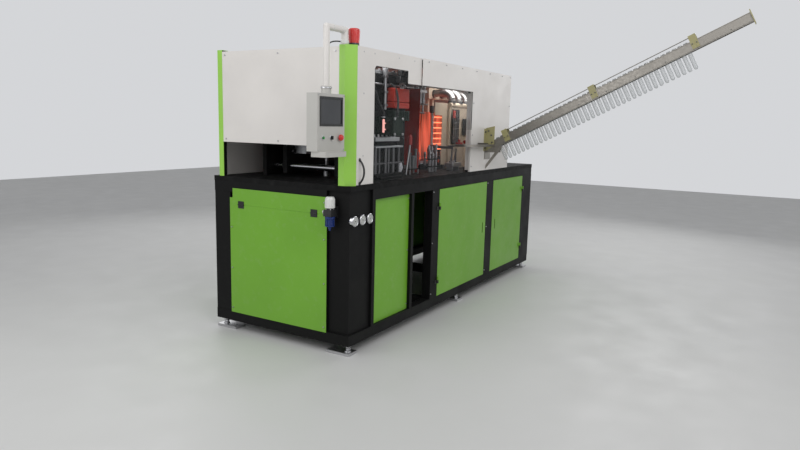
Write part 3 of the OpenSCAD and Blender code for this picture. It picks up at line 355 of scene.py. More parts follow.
def finishes():
    """Every finish on the machine, made once and kept by name."""
    c, s = colours(), sizes()
    return {
        "lime": painted("lime_paint", c.lime, 0.38),
        # Painted light: the corner posts wear the same lime paint as the doors, here a lighter copy for the
        # light that falls on them.
        "lime_post_lit": painted("lime_paint_lit_copy", (0.31, 0.62, 0.08), 0.36),
        "white": painted("white_paint", c.white, 0.34, peel=0.04, dust=0.06),
        "black": painted("frame_black", c.black, 0.5, peel=0.08, dust=0.006, gloss=0.12),
        "cream": painted("cream_paint", c.cream, 0.5),
        # Painted light: the shield's red holds the lamps' red glow falling on it as well as its paint.
        "shield": painted("shield_red", c.shield, 0.45, dust=0.02, gloss=0.2),
        "grey": painted("pendant_grey", (0.5, 0.49, 0.46), 0.4, peel=0.06, dust=0.08),
        "hinge_black": painted("hinge_black", (0.012, 0.012, 0.013), 0.4),
        "arm_red": painted("arm_red", (0.36, 0.02, 0.018), 0.4),
        "deep_green": painted("dark_green", (0.006, 0.016, 0.01), 0.5, dust=0.02, gloss=0.2),
        "cast": casting("cast_black", (0.009, 0.009, 0.009)),
        "table": casting("table_black", (0.006, 0.006, 0.006)),
        "steel": metal("steel", (0.36, 0.36, 0.37), 0.36),
        "dull_steel": metal("dull_steel", (0.16, 0.16, 0.165), 0.5),
        "chrome": metal("chrome", (0.6, 0.6, 0.62), 0.16, grain=(30, 1, 1), depth=0.03, stain=0.1),
        "alu": metal("machined_alu", (0.5, 0.51, 0.52), 0.38, grain=(1, 25, 1)),
        "chute_alu": metal("chute_alu", (0.33, 0.31, 0.28), 0.42, grain=(30, 1, 1)),
        "zinc": metal("zinc_plate", (0.55, 0.55, 0.56), 0.32, grain=(4, 4, 4)),
        "olive": painted("zinc_olive", (0.36, 0.33, 0.16), 0.42, dust=0.15),
        # Painted reflection: the reflectors' red glow stands in for the lamps' light that they throw back.
        "copper_painted_reflection": reflector("reflector", (0.5, 0.27, 0.2), glow=(1.0, 0.16, 0.09), strength=0.8),
        "brass": metal("brass", (0.52, 0.37, 0.14), 0.3),
        "foil": metal("duct_foil", (0.42, 0.41, 0.4), 0.34, grain=(8, 8, 8), depth=0.8, stain=0.6),
        "plastic": moulded("black_plastic", (0.014, 0.014, 0.015), 0.42),
        "white_plastic": moulded("white_plastic", (0.7, 0.7, 0.68), 0.35),
        "blue_plastic": moulded("bowl_blue", (0.01, 0.03, 0.16), 0.2, grain=0.02, coat=0.3),
        "red_plastic": moulded("stop_red", c.signal, 0.28, grain=0.03, coat=0.3),
        "green_plastic": moulded("button_green", (0.01, 0.24, 0.035), 0.28, grain=0.03, coat=0.3),
        "blue_tube": moulded("tube_blue", (0.01, 0.07, 0.32), 0.3, grain=0.02),
        "lens": moulded("beacon_red", c.signal, 0.16, grain=0.02, coat=0.6),
        "rubber": rubber("hose_rubber", (0.012, 0.012, 0.013)),
        "glass": clear("clear_sheet", (0.03, 0.035, 0.035), face=0.03, edge=0.22),
        "dial_glass": clear("dial_glass", (0.2, 0.22, 0.22), face=0.04, edge=0.4, rough=0.03, scratch=0.01),
        "pet": clear("clear_preform", (0.5, 0.52, 0.53), face=0.34, edge=0.97, rough=0.08, scratch=0.02),
        "dial": moulded("dial_white", (0.75, 0.75, 0.72), 0.5, grain=0.02),
        "screen": moulded("screen_dark", (0.012, 0.014, 0.018), 0.12, grain=0.01, coat=0.4),
        "lamp": glowing("lamp_glow", (1.0, 0.24, 0.11), s.lamp_glow, ends=0.4),
        # Painted light: the level tube glows with the lamps' red thrown onto it.
        "lamp_lit_tube": painted_lamp_glow(moulded("level_tube", (0.75, 0.35, 0.32), 0.25, grain=0.02), (1.0, 0.45, 0.4), 0.9),
        "red_box": painted("shield_box_red", (0.5, 0.05, 0.035), 0.45, dust=0.02, gloss=0.2),
    }


# Shapes

class Shape:
    """Collects mesh forms in machine millimetres, then becomes one piece that rides on a body."""

    def __init__(self):
        self.bm = bmesh.new()

    def block(self, low, high):
        """A box from its low corner to its high corner."""
        made = bmesh.ops.create_cube(self.bm, size=1)["verts"]
        size = [h - l for l, h in zip(low, high)]
        middle = [(h + l) / 2 for l, h in zip(low, high)]
        place = Matrix.Translation(middle) @ Matrix.Diagonal((*size, 1))
        bmesh.ops.transform(self.bm, verts=made, matrix=place)
        return self

    def rim(self, xs, ys, zs, wide, high):
        """A rectangular frame that stands in the XZ plane, with posts so wide and rails so high."""
        (x0, x1), (y0, y1), (z0, z1) = xs, ys, zs
        self.block((x0, y0, z0), (x1, y1, z0 + high)).block((x0, y0, z1 - high), (x1, y1, z1))
        self.block((x0, y0, z0 + high), (x0 + wide, y1, z1 - high))
        return self.block((x1 - wide, y0, z0 + high), (x1, y1, z1 - high))

    def turned(self, bases, axis, profile, steps=24):
        """Lathe forms at one base or at many: profile is (radius, distance along the axis from the base)."""
        turn = Vector(axis).to_track_quat("Z", "Y").to_matrix().to_4x4()
        for base in each(bases):
            place = Matrix.Translation(base) @ turn
            rings = [[self.bm.verts.new(place @ Vector((x, y, along)))
                      for x, y in (arc(radius, 0, 360 / steps, steps) if radius > 1e-6 else [(0, 0)])]
                     for radius, along in profile]
            self.skin(rings)
            for ring, flip in ((rings[0], True), (rings[-1], False)):
                if len(ring) > 1:
                    self.bm.faces.new(ring[::-1] if flip else ring)
        return self

    def skin(self, rings):
        """Joins each ring to the next with faces, where a ring may also be a single point."""
        for lower, upper in zip(rings, rings[1:]):
            steps = max(len(lower), len(upper))
            for k in range(steps):
                n = (k + 1) % steps
                around = ((lower, k), (lower, n), (upper, n), (upper, k))
                corners = list(dict.fromkeys(ring[i % len(ring)] for ring, i in around))
                if len(corners) > 2:
                    self.bm.faces.new(corners)

    def rod(self, start, end, radius, steps=20, edge=0.8):
        """A round bar between two points with its ends slightly broken."""
        start, end = Vector(start), Vector(end)
        length = (end - start).length
        e = min(edge, radius / 3, length / 3)
        return self.turned(start, end - start, [
            (radius - e, 0), (radius, e), (radius, length - e), (radius - e, length)], steps)

    def line(self, points, radius, steps=8, edge=0.1):
        """Bars from each point to the next."""
        for start, end in zip(points, points[1:]):
            self.rod(start, end, radius, steps, edge)
        return self

    def bolt(self, seats, axis, size):
        """Socket-head screws with a dished hexagon, standing on their seats."""
        r = size * HEAD / 2
        return self.turned(seats, axis, [
            (r, 0), (r, size * 0.85), (r * 0.9, size), (r * 0.55, size), (r * 0.5, size * 0.5),
            (0, size * 0.5)], 12)

    def hexagon(self, seats, axis, across, height):
        """Hexagon nuts or heads."""
        r = across / math.sqrt(3)
        return self.turned(seats, axis, [
            (r * 0.94, 0), (r, height * 0.12), (r, height * 0.85), (r * 0.9, height)], 6)

    def plate(self, points, low, high, plane="XZ"):
        """A flat plate of any outline, given in the XZ or YZ plane, between two depths across it."""
        def corner(p, depth):
            return (p[0], depth, p[1]) if plane == "XZ" else (depth, p[0], p[1])
        front, back = ([self.bm.verts.new(corner(p, depth)) for p in points] for depth in (low, high))
        self.bm.faces.new(front)
        self.bm.faces.new(back[::-1])
        for k in range(len(points)):
            n = (k + 1) % len(points)
            self.bm.faces.new((front[n], front[k], back[k], back[n]))
        return self

    def swept(self, points, radius, steps, ripple=0.0, pitch=0.0):
        """A tube along a smooth line through the points; ripple corrugates it as a flexible duct."""
        line = smooth_line(points, 40 if ripple else 6)
        if ripple:
            line = even_line(line, pitch / 2)
        rings = []
        up = Vector((0.03, 0.05, 1)).normalized()
        for i, p in enumerate(line):
            ahead = (line[min(i + 1, len(line) - 1)] - line[max(i - 1, 0)]).normalized()
            side = ahead.cross(up)
            if side.length < 0.2:
                side = ahead.cross(Vector((1, 0.1, 0)))
            side.normalize()
            over = side.cross(ahead)
            rings.append([self.bm.verts.new(p + side * x + over * y)
                          for x, y in arc(radius - (ripple if i % 2 else 0), 0, 360 / steps, steps)])
        self.skin(rings)
        self.bm.faces.new(rings[0][::-1])
        self.bm.faces.new(rings[-1])
        return self

    def done(self, name, finish, body="machine", bevel=0.0, slot=None):
        """Makes the piece: moves it to the frame, bevels its edges, gives it its finish and its body."""
        bmesh.ops.recalc_face_normals(self.bm, faces=self.bm.faces)
        to_frame = Matrix.Translation((CORNER.x, CORNER.y, 0)) @ Matrix.Scale(0.001, 4)
        bmesh.ops.transform(self.bm, verts=self.bm.verts, matrix=to_frame)
        mesh = bpy.data.meshes.new(name)
        self.bm.to_mesh(mesh)
        self.bm.free()
        piece = placed(name, mesh)
        mesh.materials.append(FINISHES[finish])
        mesh.shade_smooth()
        mesh.set_sharp_from_angle(angle=math.radians(35))
        if bevel:
            edge = piece.modifiers.new("broken_edges", "BEVEL")
            edge.width = bevel / 1000
            edge.segments = 2
            edge.limit_method = "ANGLE"
            edge.angle_limit = math.radians(50)
        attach(piece, body)


# Finishes by name, made when main() runs
FINISHES = {}


def placed(name, data):
    """A new object with this data, linked into the scene."""
    made = bpy.data.objects.new(name, data)
    bpy.context.scene.collection.objects.link(made)
    return made


def each(places):
    """The places as a list, also where only one is given."""
    places = list(places)
    return places if hasattr(places[0], "__len__") else [places]


def grid(xs, ys, zs):
    """Every place of a grid, where a bare number stands for one row."""
    return product(*(axis if hasattr(axis, "__len__") else (axis,) for axis in (xs, ys, zs)))


def arc(radius, start, step, count):
    """Points of an arc or a circle about the origin, with its angles in degrees."""
    angles = [math.radians(start + step * k) for k in range(count)]
    return [(radius * math.cos(a), radius * math.sin(a)) for a in angles]


def sides(y):
    """A depth before the parting plane and its mirror image, each with the way inward: 1 is to the rear."""
    return ((y, 1), (2 * PARTING - y, -1))


def both(y):
    """A depth before the parting plane and its mirror image."""
    return (y, 2 * PARTING - y)


def smooth_line(points, steps=8):
    """A Catmull-Rom line through the points."""
    pts = [Vector(p) for p in points]
    pts = [pts[0] * 2 - pts[1], *pts, pts[-1] * 2 - pts[-2]]
    line = []
    for i in range(1, len(pts) - 2):
        a, b, c, d = pts[i - 1:i + 3]
        for k in range(steps):
            t = k / steps
            line.append(0.5 * (2 * b + (c - a) * t + (2 * a - 5 * b + 4 * c - d) * t * t
                               + (3 * b - a - 3 * c + d) * t ** 3))
    return line + [pts[-2]]


def even_line(line, step):
    """The same line with points an even step apart."""
    out, left = [line[0]], step
    for a, b in zip(line, line[1:]):
        run = (b - a).length
        while run >= left:
            a = a + (b - a) * (left / run)
            out.append(a)
            run -= left
            left = step
        left -= run
    return out


def routed(origin, points, way_x=1, way_y=1):
    """A route given from an origin, turned round in X or in Y where its way is -1."""
    return [(origin[0] + x * way_x, origin[1] + y * way_y, origin[2] + z) for x, y, z in points]


def hose(name, points, diameter, finish, body="machine"):
    """An air hose whose both ends go into the machine."""
    line = smooth_line(points)
    length = sum((b - a).length for a, b in zip(line, line[1:])) / 1000
    data = bpy.data.curves.new(name, "CURVE")
    data.dimensions = "3D"
    data.bevel_depth = diameter / 2
    data.bevel_resolution = 3
    data.use_fill_caps = True
    spline = data.splines.new("POLY")
    spline.points.add(len(line) - 1)
    for point, place in zip(spline.points, line):
        point.co = (*at(*place), 1)
    piece = placed(name, data)
    data.materials.append(FINISHES[finish])
    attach(piece, body)
    tuple(at(*line[0]))


# Operators

class Builder:
    """Runs build() and says that it is finished."""
    bl_options = {"REGISTER", "UNDO"}

    def execute(self, context):
        self.build()
        return {"FINISHED"}


class MACHINE_OT_camera(Builder, bpy.types.Operator):
    """Place the camera where the photograph was taken from"""
    bl_idname = "machine.camera"
    bl_label = "Camera"

    PLACE = (-3707, -2586, 1702)
    YAW, PITCH, ROLL = (math.radians(a) for a in (59.5626, 9.00366, 1.40692))

    def build(self):
        yaw, pitch, roll = self.YAW, self.PITCH, self.ROLL
        ahead = Vector((math.sin(yaw) * math.cos(pitch), math.cos(yaw) * math.cos(pitch), -math.sin(pitch)))
        right = Vector((math.cos(yaw), -math.sin(yaw), 0))
        up = right.cross(ahead)
        c, s = math.cos(roll), math.sin(roll)
        right, up = c * right + s * up, -s * right + c * up
        data = bpy.data.cameras.new("camera")
        data.lens = 29.10
        data.sensor_width = 36
        data.clip_end = 100
        camera = bpy.context.scene.camera = placed("camera", data)
        turn = Matrix((right, up, -ahead)).transposed().to_4x4()
        camera.matrix_world = Matrix.Translation(at(*self.PLACE)) @ turn


class MACHINE_OT_hoses(Builder, bpy.types.Operator):
    """Lay the air hoses of the clamp, the plug cylinders and the blowing unit, and the pendant's cable"""
    bl_idname = "machine.hoses"
    bl_label = "Hoses and Cables"

    CLAMP_A = [(30, 0, 74), (34, 0, 120), (90, 30, 200), (120, 70, 290), (120, 108, 330), (120, 134, 334)]
    CLAMP_B = [(-30, 90, 74), (-36, 90, 110), (-100, 96, 190), (-128, 104, 260), (-130, 134, 284)]
    PLUG = [(40, 0, -24), (60, -40, -14), (70, -150, -8), (60, -240, -40), (50, -260, -98)]
    NOZZLE = [(96, 180, 690), (120, 330, 640), (130, 480, 480), (118, 560, 320), (112, 600, 156)]
    PENDANT = [(DROP_X + 21, 92, 2200), (DROP_X + 50, 110, 2196), (DROP_X + 110, 128, 2226),
               (DROP_X + 170, 120, 2240), (MAST_X + 22, 96, 2238), (MAST_X + 23, 84, 2232)]
    FILTER = [(-16, 176, 1048), (2, 190, 1046), (12, 196, 1046), (22.4, 199, 1046), (40, 200, 1046),
              (60, 200, 1046)]

    def build(self):
        large, small = sizes().hose_d, sizes().tube_d
        for side, (y, inward) in zip(("front", "rear"), sides(80)):
            for end, route in (("a", self.CLAMP_A), ("b", self.CLAMP_B)):
                path = routed((MOULD_X, y, MOULD_Z), route, 1, inward)
                hose(f"clamp_hose_{side}_{end}", path, large, "rubber")
        banks = tuple(zip(("left", "right"), CAVITY_XS, (-1, 1), (34, 90)))
        for side, x, way, _ in banks:
            hose(f"plug_tube_{side}_a", routed((x, PARTING, PLUG_TOP), self.PLUG, way), small, "blue_tube")
        for side, x, way, start in banks:
            path = routed((x, 0, 0), [(96, start, 700), *self.NOZZLE], way)
            hose(f"nozzle_hose_{side}", path, large, "rubber")
        hose("pendant_cable", self.PENDANT, 0.009, "rubber", "pendant_arm")
        for k, lift in enumerate((0, 26)):
            hose(f"filter_tube_{k}", routed((0, 0, lift), self.FILTER), small, "blue_tube")


class MACHINE_OT_node_finishes(Builder, bpy.types.Operator):
    """Give every solid of the CAD model its own finish"""
    bl_idname = "machine.node_finishes"
    bl_label = "Finishes of the Solids"

    FINISH_OF = {
        "black": "base_long_rails base_cross_rails base_posts guard_long_rails guard_uprights service_column",
        # The posts' lighter lime is painted light.
        "lime": "base_panels base_door_a base_door_b", "lime_post_lit": "green_posts",
        "table": "table_plate oven_bed", "zinc": "levelling_feet",
        "hinge_black": "door_hinges door_handle", "plastic": "air_filter mode_switch",
        "steel": "sync_pinion nozzle_block stretch_carriage transfer_rails sprocket_left sprocket_right",
        "chrome": "pressure_gauges tie_bars blow_guides front_spindles rear_spindles",
        "blue_plastic": "filter_bowl", "white_plastic": "regulator_knob", "glass": "fixed_pane door_pane",
        "white": "sliding_door guard_sheets pendant_arm", "lens": "beacon", "shield": "oven_shield",
        "cast": "clamp_end_plates front_platen rear_platen", "deep_green": "clamp_cylinders",
        "alu": "front_mould rear_mould base_plugs plug_cylinders transfer_carriage lamp_racks",
        "dull_steel": "gripper_front gripper_rear turnover_arm", "arm_red": "handover_arm",
        "cream": "oven_housings", "copper_painted_reflection": "oven_reflectors", "lamp": "heater_lamps",
        "chute_alu": "infeed_chute", "olive": "chute_brackets", "pet": "chute_preforms", "grey": "pendant",
        "red_plastic": "emergency_stop", "green_plastic": "start_button",
    }

    def build(self):
        for finish, names in self.FINISH_OF.items():
            for name in names.split():
                mesh = NODES[name].data
                mesh.materials.clear()
                mesh.materials.append(FINISHES[finish])
        bare = [name for name, node in NODES.items() if not node.data.materials]
        if bare:
            raise RuntimeError(f"these solids have no finish: {bare}")


class MACHINE_OT_service_bay(Builder, bpy.types.Operator):
    """Dials, needles and glasses of the gauges, and the ribs and port of the air filter"""
    bl_idname = "machine.service_bay"
    bl_label = "Service Bay"

    def build(self):
        dials, glasses, needles = Shape(), Shape(), Shape()
        for x, reading in ((48, 215), (144, 150), (240, 60)):
            def spoke(depth, angle, inner, outer, radius):
                (ax, az), (bx, bz) = (arc(r, angle, 0, 1)[0] for r in (inner, outer))
                y = GAUGE_FACE - depth
                needles.rod((x + ax, y, GAUGE_Z + az), (x + bx, y, GAUGE_Z + bz), radius, 6, 0.1)
            dials.turned((x, GAUGE_FACE, GAUGE_Z), FRONT, [(31, 0), (31, 0.4), (0, 0.4)], 40)
            glasses.turned((x, GAUGE_FACE - 1.4, GAUGE_Z), FRONT, [
                (31.6, 0), (31.6, 0.6), (24, 2.2), (12, 3.0), (0, 3.2)], 40)
            spoke(0.9, reading, -8, 24, 0.7)
            needles.turned((x, GAUGE_FACE - 0.2, GAUGE_Z), FRONT, [(4, 0), (4, 1), (2, 1.3)], 16)
            for step in range(-4, 5):
                spoke(0.45, 90 + step * 33.75, 22 if step % 2 else 20, 27, 0.55)
        dials.done("gauge_dials", "dial")
        needles.done("gauge_needles", "plastic", slot="handle_black")
        glasses.done("gauge_glasses", "dial_glass")
        guard = Shape()
        for dx, dy in arc(33.5, 0, 36, 10):
            guard.rod((FILTER_X + dx, FILTER_Y + dy, 966), (FILTER_X + dx, FILTER_Y + dy, 1018), 2.2, 8)
        guard.turned((FILTER_X, FILTER_Y, 958), UP, [(31, 0), (36, 2), (36, 8), (31, 10)], 32)
        guard.turned((FILTER_X, FILTER_Y, 1016), UP, [(34.5, 0), (36.5, 2), (36.5, 12), (34.5, 14)], 32)
        guard.done("bowl_guard", "blue_plastic")
        ports = Shape().hexagon((FILTER_X, 199, 1058), BACK, 30, 7)
        ports.bolt(grid((FILTER_X - 18, FILTER_X + 18), (FILTER_Y - 18, FILTER_Y + 18), 1080), UP, 5)
        ports.done("filter_screws", "zinc")
        Shape().turned(grid(FILTER_X, FILTER_Y, (1100, 1108, 1116)), UP, [
            (35.4, 0), (37, 1), (37, 3), (35.4, 4)], 32).done("knob_rings", "white_plastic", "regulator_knob")


class MACHINE_OT_base_trim(Builder, bpy.types.Operator):
    """Seals, screws, latches and table screws of the base"""
    bl_idname = "machine.base_trim"
    bl_label = "Base Trim"

    def build(self):
        size = screw_size()
        levels = (200, 660, 1110)
        left = [p for p in grid(-3, (225, 1140), (190, 520, 850, 1120)) if p != (-3, 1140, 1120)]
        screws = Shape().bolt(left, LEFT, size)
        screws.bolt(grid((1256, 2446), 0, levels), FRONT, size)
        screws.bolt(grid(BASE_L + 3, (120, 660, 1210), levels), RIGHT, size)
        for x0, x1 in ((84, 1240), (1328, 2428), (2516, 3686)):
            screws.bolt(grid((x0 + 30, (x0 + x1) / 2, x1 - 30), BASE_D, (180, 1130)), BACK, size)
        screws.bolt(grid((352, 868), 30, (200, 660, 1090)), FRONT, size)
        screws.done("panel_screws", "zinc")
        for door, x0, x1 in (("base_door_a", 1374, 2432), ("base_door_b", 2600, 3470)):
            seal = Shape().rim((x0 + 8, x1 - 8), (17.6, 22), (170, 1123), 8, 8)
            seal.done(f"{door}_seal", "rubber", door)
            ribs = Shape()
            for z in (420, 880):
                for y, low, high in ((2.8, -20, -17), (2.8, 17, 20), (13, -20, 20)):
                    ribs.block((x0 + 12, y, z + low), (x1 - 12, 16, z + high))
            ribs.done(f"{door}_ribs", "lime", door)
        for door, pull in (("base_door_a", 2362), ("base_door_b", 2685)):
            cup = Shape().block((pull - 14, 12, 604), (pull + 14, 13.5, 716))
            for x in (pull - 14, pull + 11):
                cup.block((x, 3, 604), (x + 3, 13, 716))
            for z in (604, 713):
                cup.block((pull - 14, 3, z), (pull + 14, 13, z + 3))
            cup.done(f"{door}_pull_cup", "plastic", door, slot="handle_black")
        heads = [p for p in grid(range(60, 3740, 365), (40, 1290), TABLE) if p != (60, 40, TABLE)]
        Shape().turned(heads, UP, [(9, 0), (9, 0.6), (6, 0.8), (5.4, -0.2)], 12).done(
            "table_screws", "dull_steel")
        flap = Shape()
        for y in (320, 1040):
            flap.turned((-8, y - 30, 1034), BACK, [(5, 0), (5, 60)], 14)
            for z in (1036, 1006):
                flap.block((-6.4, y - 30, z), (-3, y + 30, z + 26))
        flap.done("flap_hinges", "hinge_black")
        Shape().hexagon(grid((60, 1885, 3710), (50, 1280), 32), UP, 36, 14).done(
            "levelling_nuts", "zinc", slot="foot_steel")


class MACHINE_OT_guard_trim(Builder, bpy.types.Operator):
    """Seals, screws, edge strips, door wheels and lights of the upper guard"""
    bl_idname = "machine.guard_trim"
    bl_label = "Guard Trim"

    def build(self):
        size, top = screw_size(), GUARD_TOP
        screws = Shape().bolt(grid((1100, 1420, 1740, 2060, 2380, 2700, 2930), 0, top - 22), FRONT, size)
        screws.bolt(grid((2936, 2014), 0, (1300, 1600, 1900)), FRONT, size)
        for x, way in ((1, LEFT), (GUARD_L, RIGHT)):
            screws.bolt(grid(x, (140, 660, 1190), (1545, 2180)), way, size)
        screws.bolt(grid((120, 700, 1280, 1860, 2440, 2900), 1312, (1290, 2190)), BACK, size)
        screws.done("sheet_screws", "zinc")
        r = size * HEAD / 2
        seats = [*grid((160, 300, 640, 880), 10, top - 34), (164, 10, 1460), (164, 10, 1900)]
        Shape().turned(seats, FRONT, [(r, 0), (r, 1.4), (4, 2.4), (0, 2.6)], 12).done(
            "door_screws", "zinc", "sliding_door")
        leg, step, low, high, bend = 304, 780, top - 120, top - 218, 28
        corner = [(leg + bend - c, low - bend + s) for c, s in arc(bend, 15, 20, 4)]
        outline = [(leg, 1256), (leg, low - bend), *corner, (leg + bend, low), (step, low), (step, high),
                   (996, high)]
        Shape().line([(x, 11, z) for x, z in outline], 2.6, 8, 0.2).done(
            "window_seal", "rubber", "sliding_door")
        fixed = Shape().rod((1004, 1, 2002), (1988, 1, 2002), 2.4, 8, 0.2)
        fixed.rod((1989, 1, 2002), (1989, 1, 1652), 2.4, 8, 0.2).done("fixed_window_seal", "rubber")
        flange = Shape().block((2005, 17, 1264), (2009.8, 62, 1990))
        flange.block((2005, 17, 1264), (2030, 19.8, 1990)).done("window_post_cover", "white", bevel=0.8)
        Shape().turned(grid((170, 900), 24, top - 34), BACK, [
            (11, 0), (12, 1), (10, 5), (12, 9), (11, 10)], 20).done(
            "door_wheels", "plastic", "sliding_door", slot="handle_black")
        stops = Shape().block((1930, 24, top - 86), (1950, 44, top - 65))
        stops.block((74, 24, top - 62), (78, 44, top - 58)).done("door_stops", "rubber")
        Shape().turned(grid(122, 10, (1261, 1432)), FRONT, [(13, 0), (13, 2), (10, 5), (8, 7)], 20).done(
            "handle_caps", "plastic", "sliding_door", slot="handle_black")
        roof = Shape()
        for x in (70, 1480, 2940):
            roof.block((x - 12, 20, top - 8), (x + 12, 1310, top - 5))
        roof.done("roof_strips", "white", bevel=1)
        Shape().block((700, 150, top - 40), (1900, 190, top - 12)).done(
            "cabin_light", "white_plastic", bevel=4, slot="white_paint")


class MACHINE_OT_clamp_fittings(Builder, bpy.types.Operator):
    """Rods, blocks, bolts, ports and the air manifold of the clamp"""
    bl_idname = "machine.clamp_fittings"
    bl_label = "Clamp Fittings"

    def build(self):
        x, z, face = MOULD_X, MOULD_Z, END_PLATE
        rails = Shape().rod((x - 330, face - 22, 1998), (x + 470, face - 22, 1998), 7, 14)
        for bx in (x - 250, x + 60, x + 330):
            rails.block((bx - 9, face - 30, 1986), (bx + 9, face, 2010))
        rails.done("clamp_air_rails", "chrome")
        sleeve = Shape().rod((736, face - 22, 1800), (736, face - 22, 2150), 15, 24)
        for bz in (1836, 1940, 2060):
            sleeve.block((716, face - 40, bz - 8), (756, face, bz + 8))
        sleeve.turned((736, face - 22, 2066), UP, [(20, 0), (22, 2), (22, 60), (20, 62)], 28)
        sleeve.done("clamp_sleeve", "steel", bevel=0.8)
        level = Shape().turned((632, 135, 1620), UP, [(6, 0), (9, 4), (9, 101), (6, 105)], 20)
        for bz in (1642, 1690):
            level.block((632, 129, bz), (664, 141, bz + 8))
        # The level tube's red glow is painted light from the oven lamps; the tube gives no light of its own.
        level.done("clamp_level_tube", "lamp_lit_tube")
        valves = Shape().block((930, face - 52, 2024), (1090, face, 2080))
        for bx in (956, 1040):
            valves.block((bx, face - 46, 2084), (bx + 44, face, 2120))
        valves.done("clamp_valve_block", "plastic", bevel=3)
        Shape().turned(grid((978, 1062), face - 26, 2119), UP, [
            (14, 0), (16, 2), (16, 24), (9, 27), (9, 32)], 24).done("valve_coils", "alu")
        drive = Shape().block((798, face - 68, 1716), (1060, face, 1798))
        for bx in range(812, 1017, 34):
            drive.block((bx, face - 74, 1724), (bx + 20, face - 67, 1790))
        drive.done("clamp_drive_block", "deep_green", bevel=4)
        manifold = Shape().block((540, face - 70, 1552), (900, face, 1584))
        manifold.block((560, face - 60, 1500), (980, face, 1514))
        manifold.turned(grid(range(566, 867, 60), face - 36, 1584), UP, [
            (13, 0), (13, 6), (9, 8), (9, 20), (6, 22)], 16)
        manifold.done("clamp_manifold", "alu", bevel=2)
        legs = Shape()
        for k, bx in enumerate((590, 650, 740, 790, 860, 950)):
            legs.rod((bx, face - 34, 1292), (bx, face - 34, 1502), 9 if k % 2 else 14, 18)
        legs.rod((560, face - 34, 1372), (980, face - 34, 1372), 8, 16)
        legs.done("manifold_rods", "dull_steel")
        foot = Shape().block((556, face - 74, 1268), (984, face, 1294))
        foot.block((600, face - 84, TABLE), (940, face - 30, 1270)).done(
            "manifold_foot", "cast", bevel=3, slot="steel")
        bolts, nuts = Shape(), Shape()
        for y, inward in sides(face):
            bolts.bolt(grid((x - 350, x + 350), y, (z - 300, z - 100, z + 100, z + 300)), (0, -inward, 0), 14)
            bolts.bolt(grid((x - 210, x, x + 210), y + 20 * inward, 2105), UP, 14)
        bolts.done("clamp_bolts", "dull_steel")
        for y, inward in sides(50):
            nuts.hexagon(grid((x - 60, x + 60), y, (z - 60, z + 60)), (0, -inward, 0), 20, 10)
            nuts.hexagon([(x + 30, y + 30 * inward, z + 62), (x - 30, y + 120 * inward, z + 62)], UP, 26, 14)
        nuts.done("cylinder_nuts", "zinc")
        for body, (y, inward) in zip(("front_clamp", "rear_clamp"), sides(425)):
            Shape().bolt(grid((x - 262, x + 262), y, (1450, 1620, 1790)), (0, inward, 0), 12).done(
                f"{body}_bolts", "dull_steel", body)
            Shape().turned(grid(x + 229, y + 22 * inward, (1490, 1630, 1760)), RIGHT, [
                (6, 0), (6, 3), (11, 3), (11, 12), (8, 14), (8, 20), (4, 20)], 16).done(
                f"{body}_water_ports", "brass", body)
        rings = Shape()
        for bx in CAVITY_XS:
            rings.turned((bx, PARTING, PLUG_TOP), UP, [
                (52, -1), (52, 2), (46, 3.5), (20, 3.5), (16.4, 2)], 32)
            rings.bolt([(bx + dx, PARTING + dy, PLUG_TOP + 1) for dx, dy in arc(44, 45, 90, 4)], UP, 4)
        rings.done("plug_cylinder_caps", "dull_steel")


class MACHINE_OT_blowing_fittings(Builder, bpy.types.Operator):
    """Seals of the nozzles, collars of the stretch rods, bolts of the shuttle and pads of the grippers"""
    bl_idname = "machine.blowing_fittings"
    bl_label = "Blowing Unit Fittings"

    def build(self):
        Shape().turned(grid(CAVITY_XS, PARTING, (1346, 1356, 1366)), UP, [
            (15.4, 0), (16.2, 1.2), (16.2, 2.8), (15.4, 4)], 28).done(
            "nozzle_seals", "rubber", "nozzle_block")
        Shape().turned(grid(CAVITY_XS, PARTING, 680), UP, [(20, 0), (20, 16), (17, 18), (7.1, 18)], 28).done(
            "stretch_rod_collars", "zinc", "stretch_carriage")
        Shape().bolt(grid((1718, 1792), (PARTING - 78, PARTING + 78), 1305), UP, 8).done(
            "shuttle_bolts", "dull_steel", "transfer_carriage")
        for body, way in (("gripper_front", -1), ("gripper_rear", 1)):
            pads = Shape()
            for bx in (1265, 1485):
                pads.line([(bx + dx, PARTING + way * dy, 1415.6) for dx, dy in arc(21, 20, 14, 11)], 1.6)
            pads.done(f"{body}_pads", "brass", body, slot="tool_black")


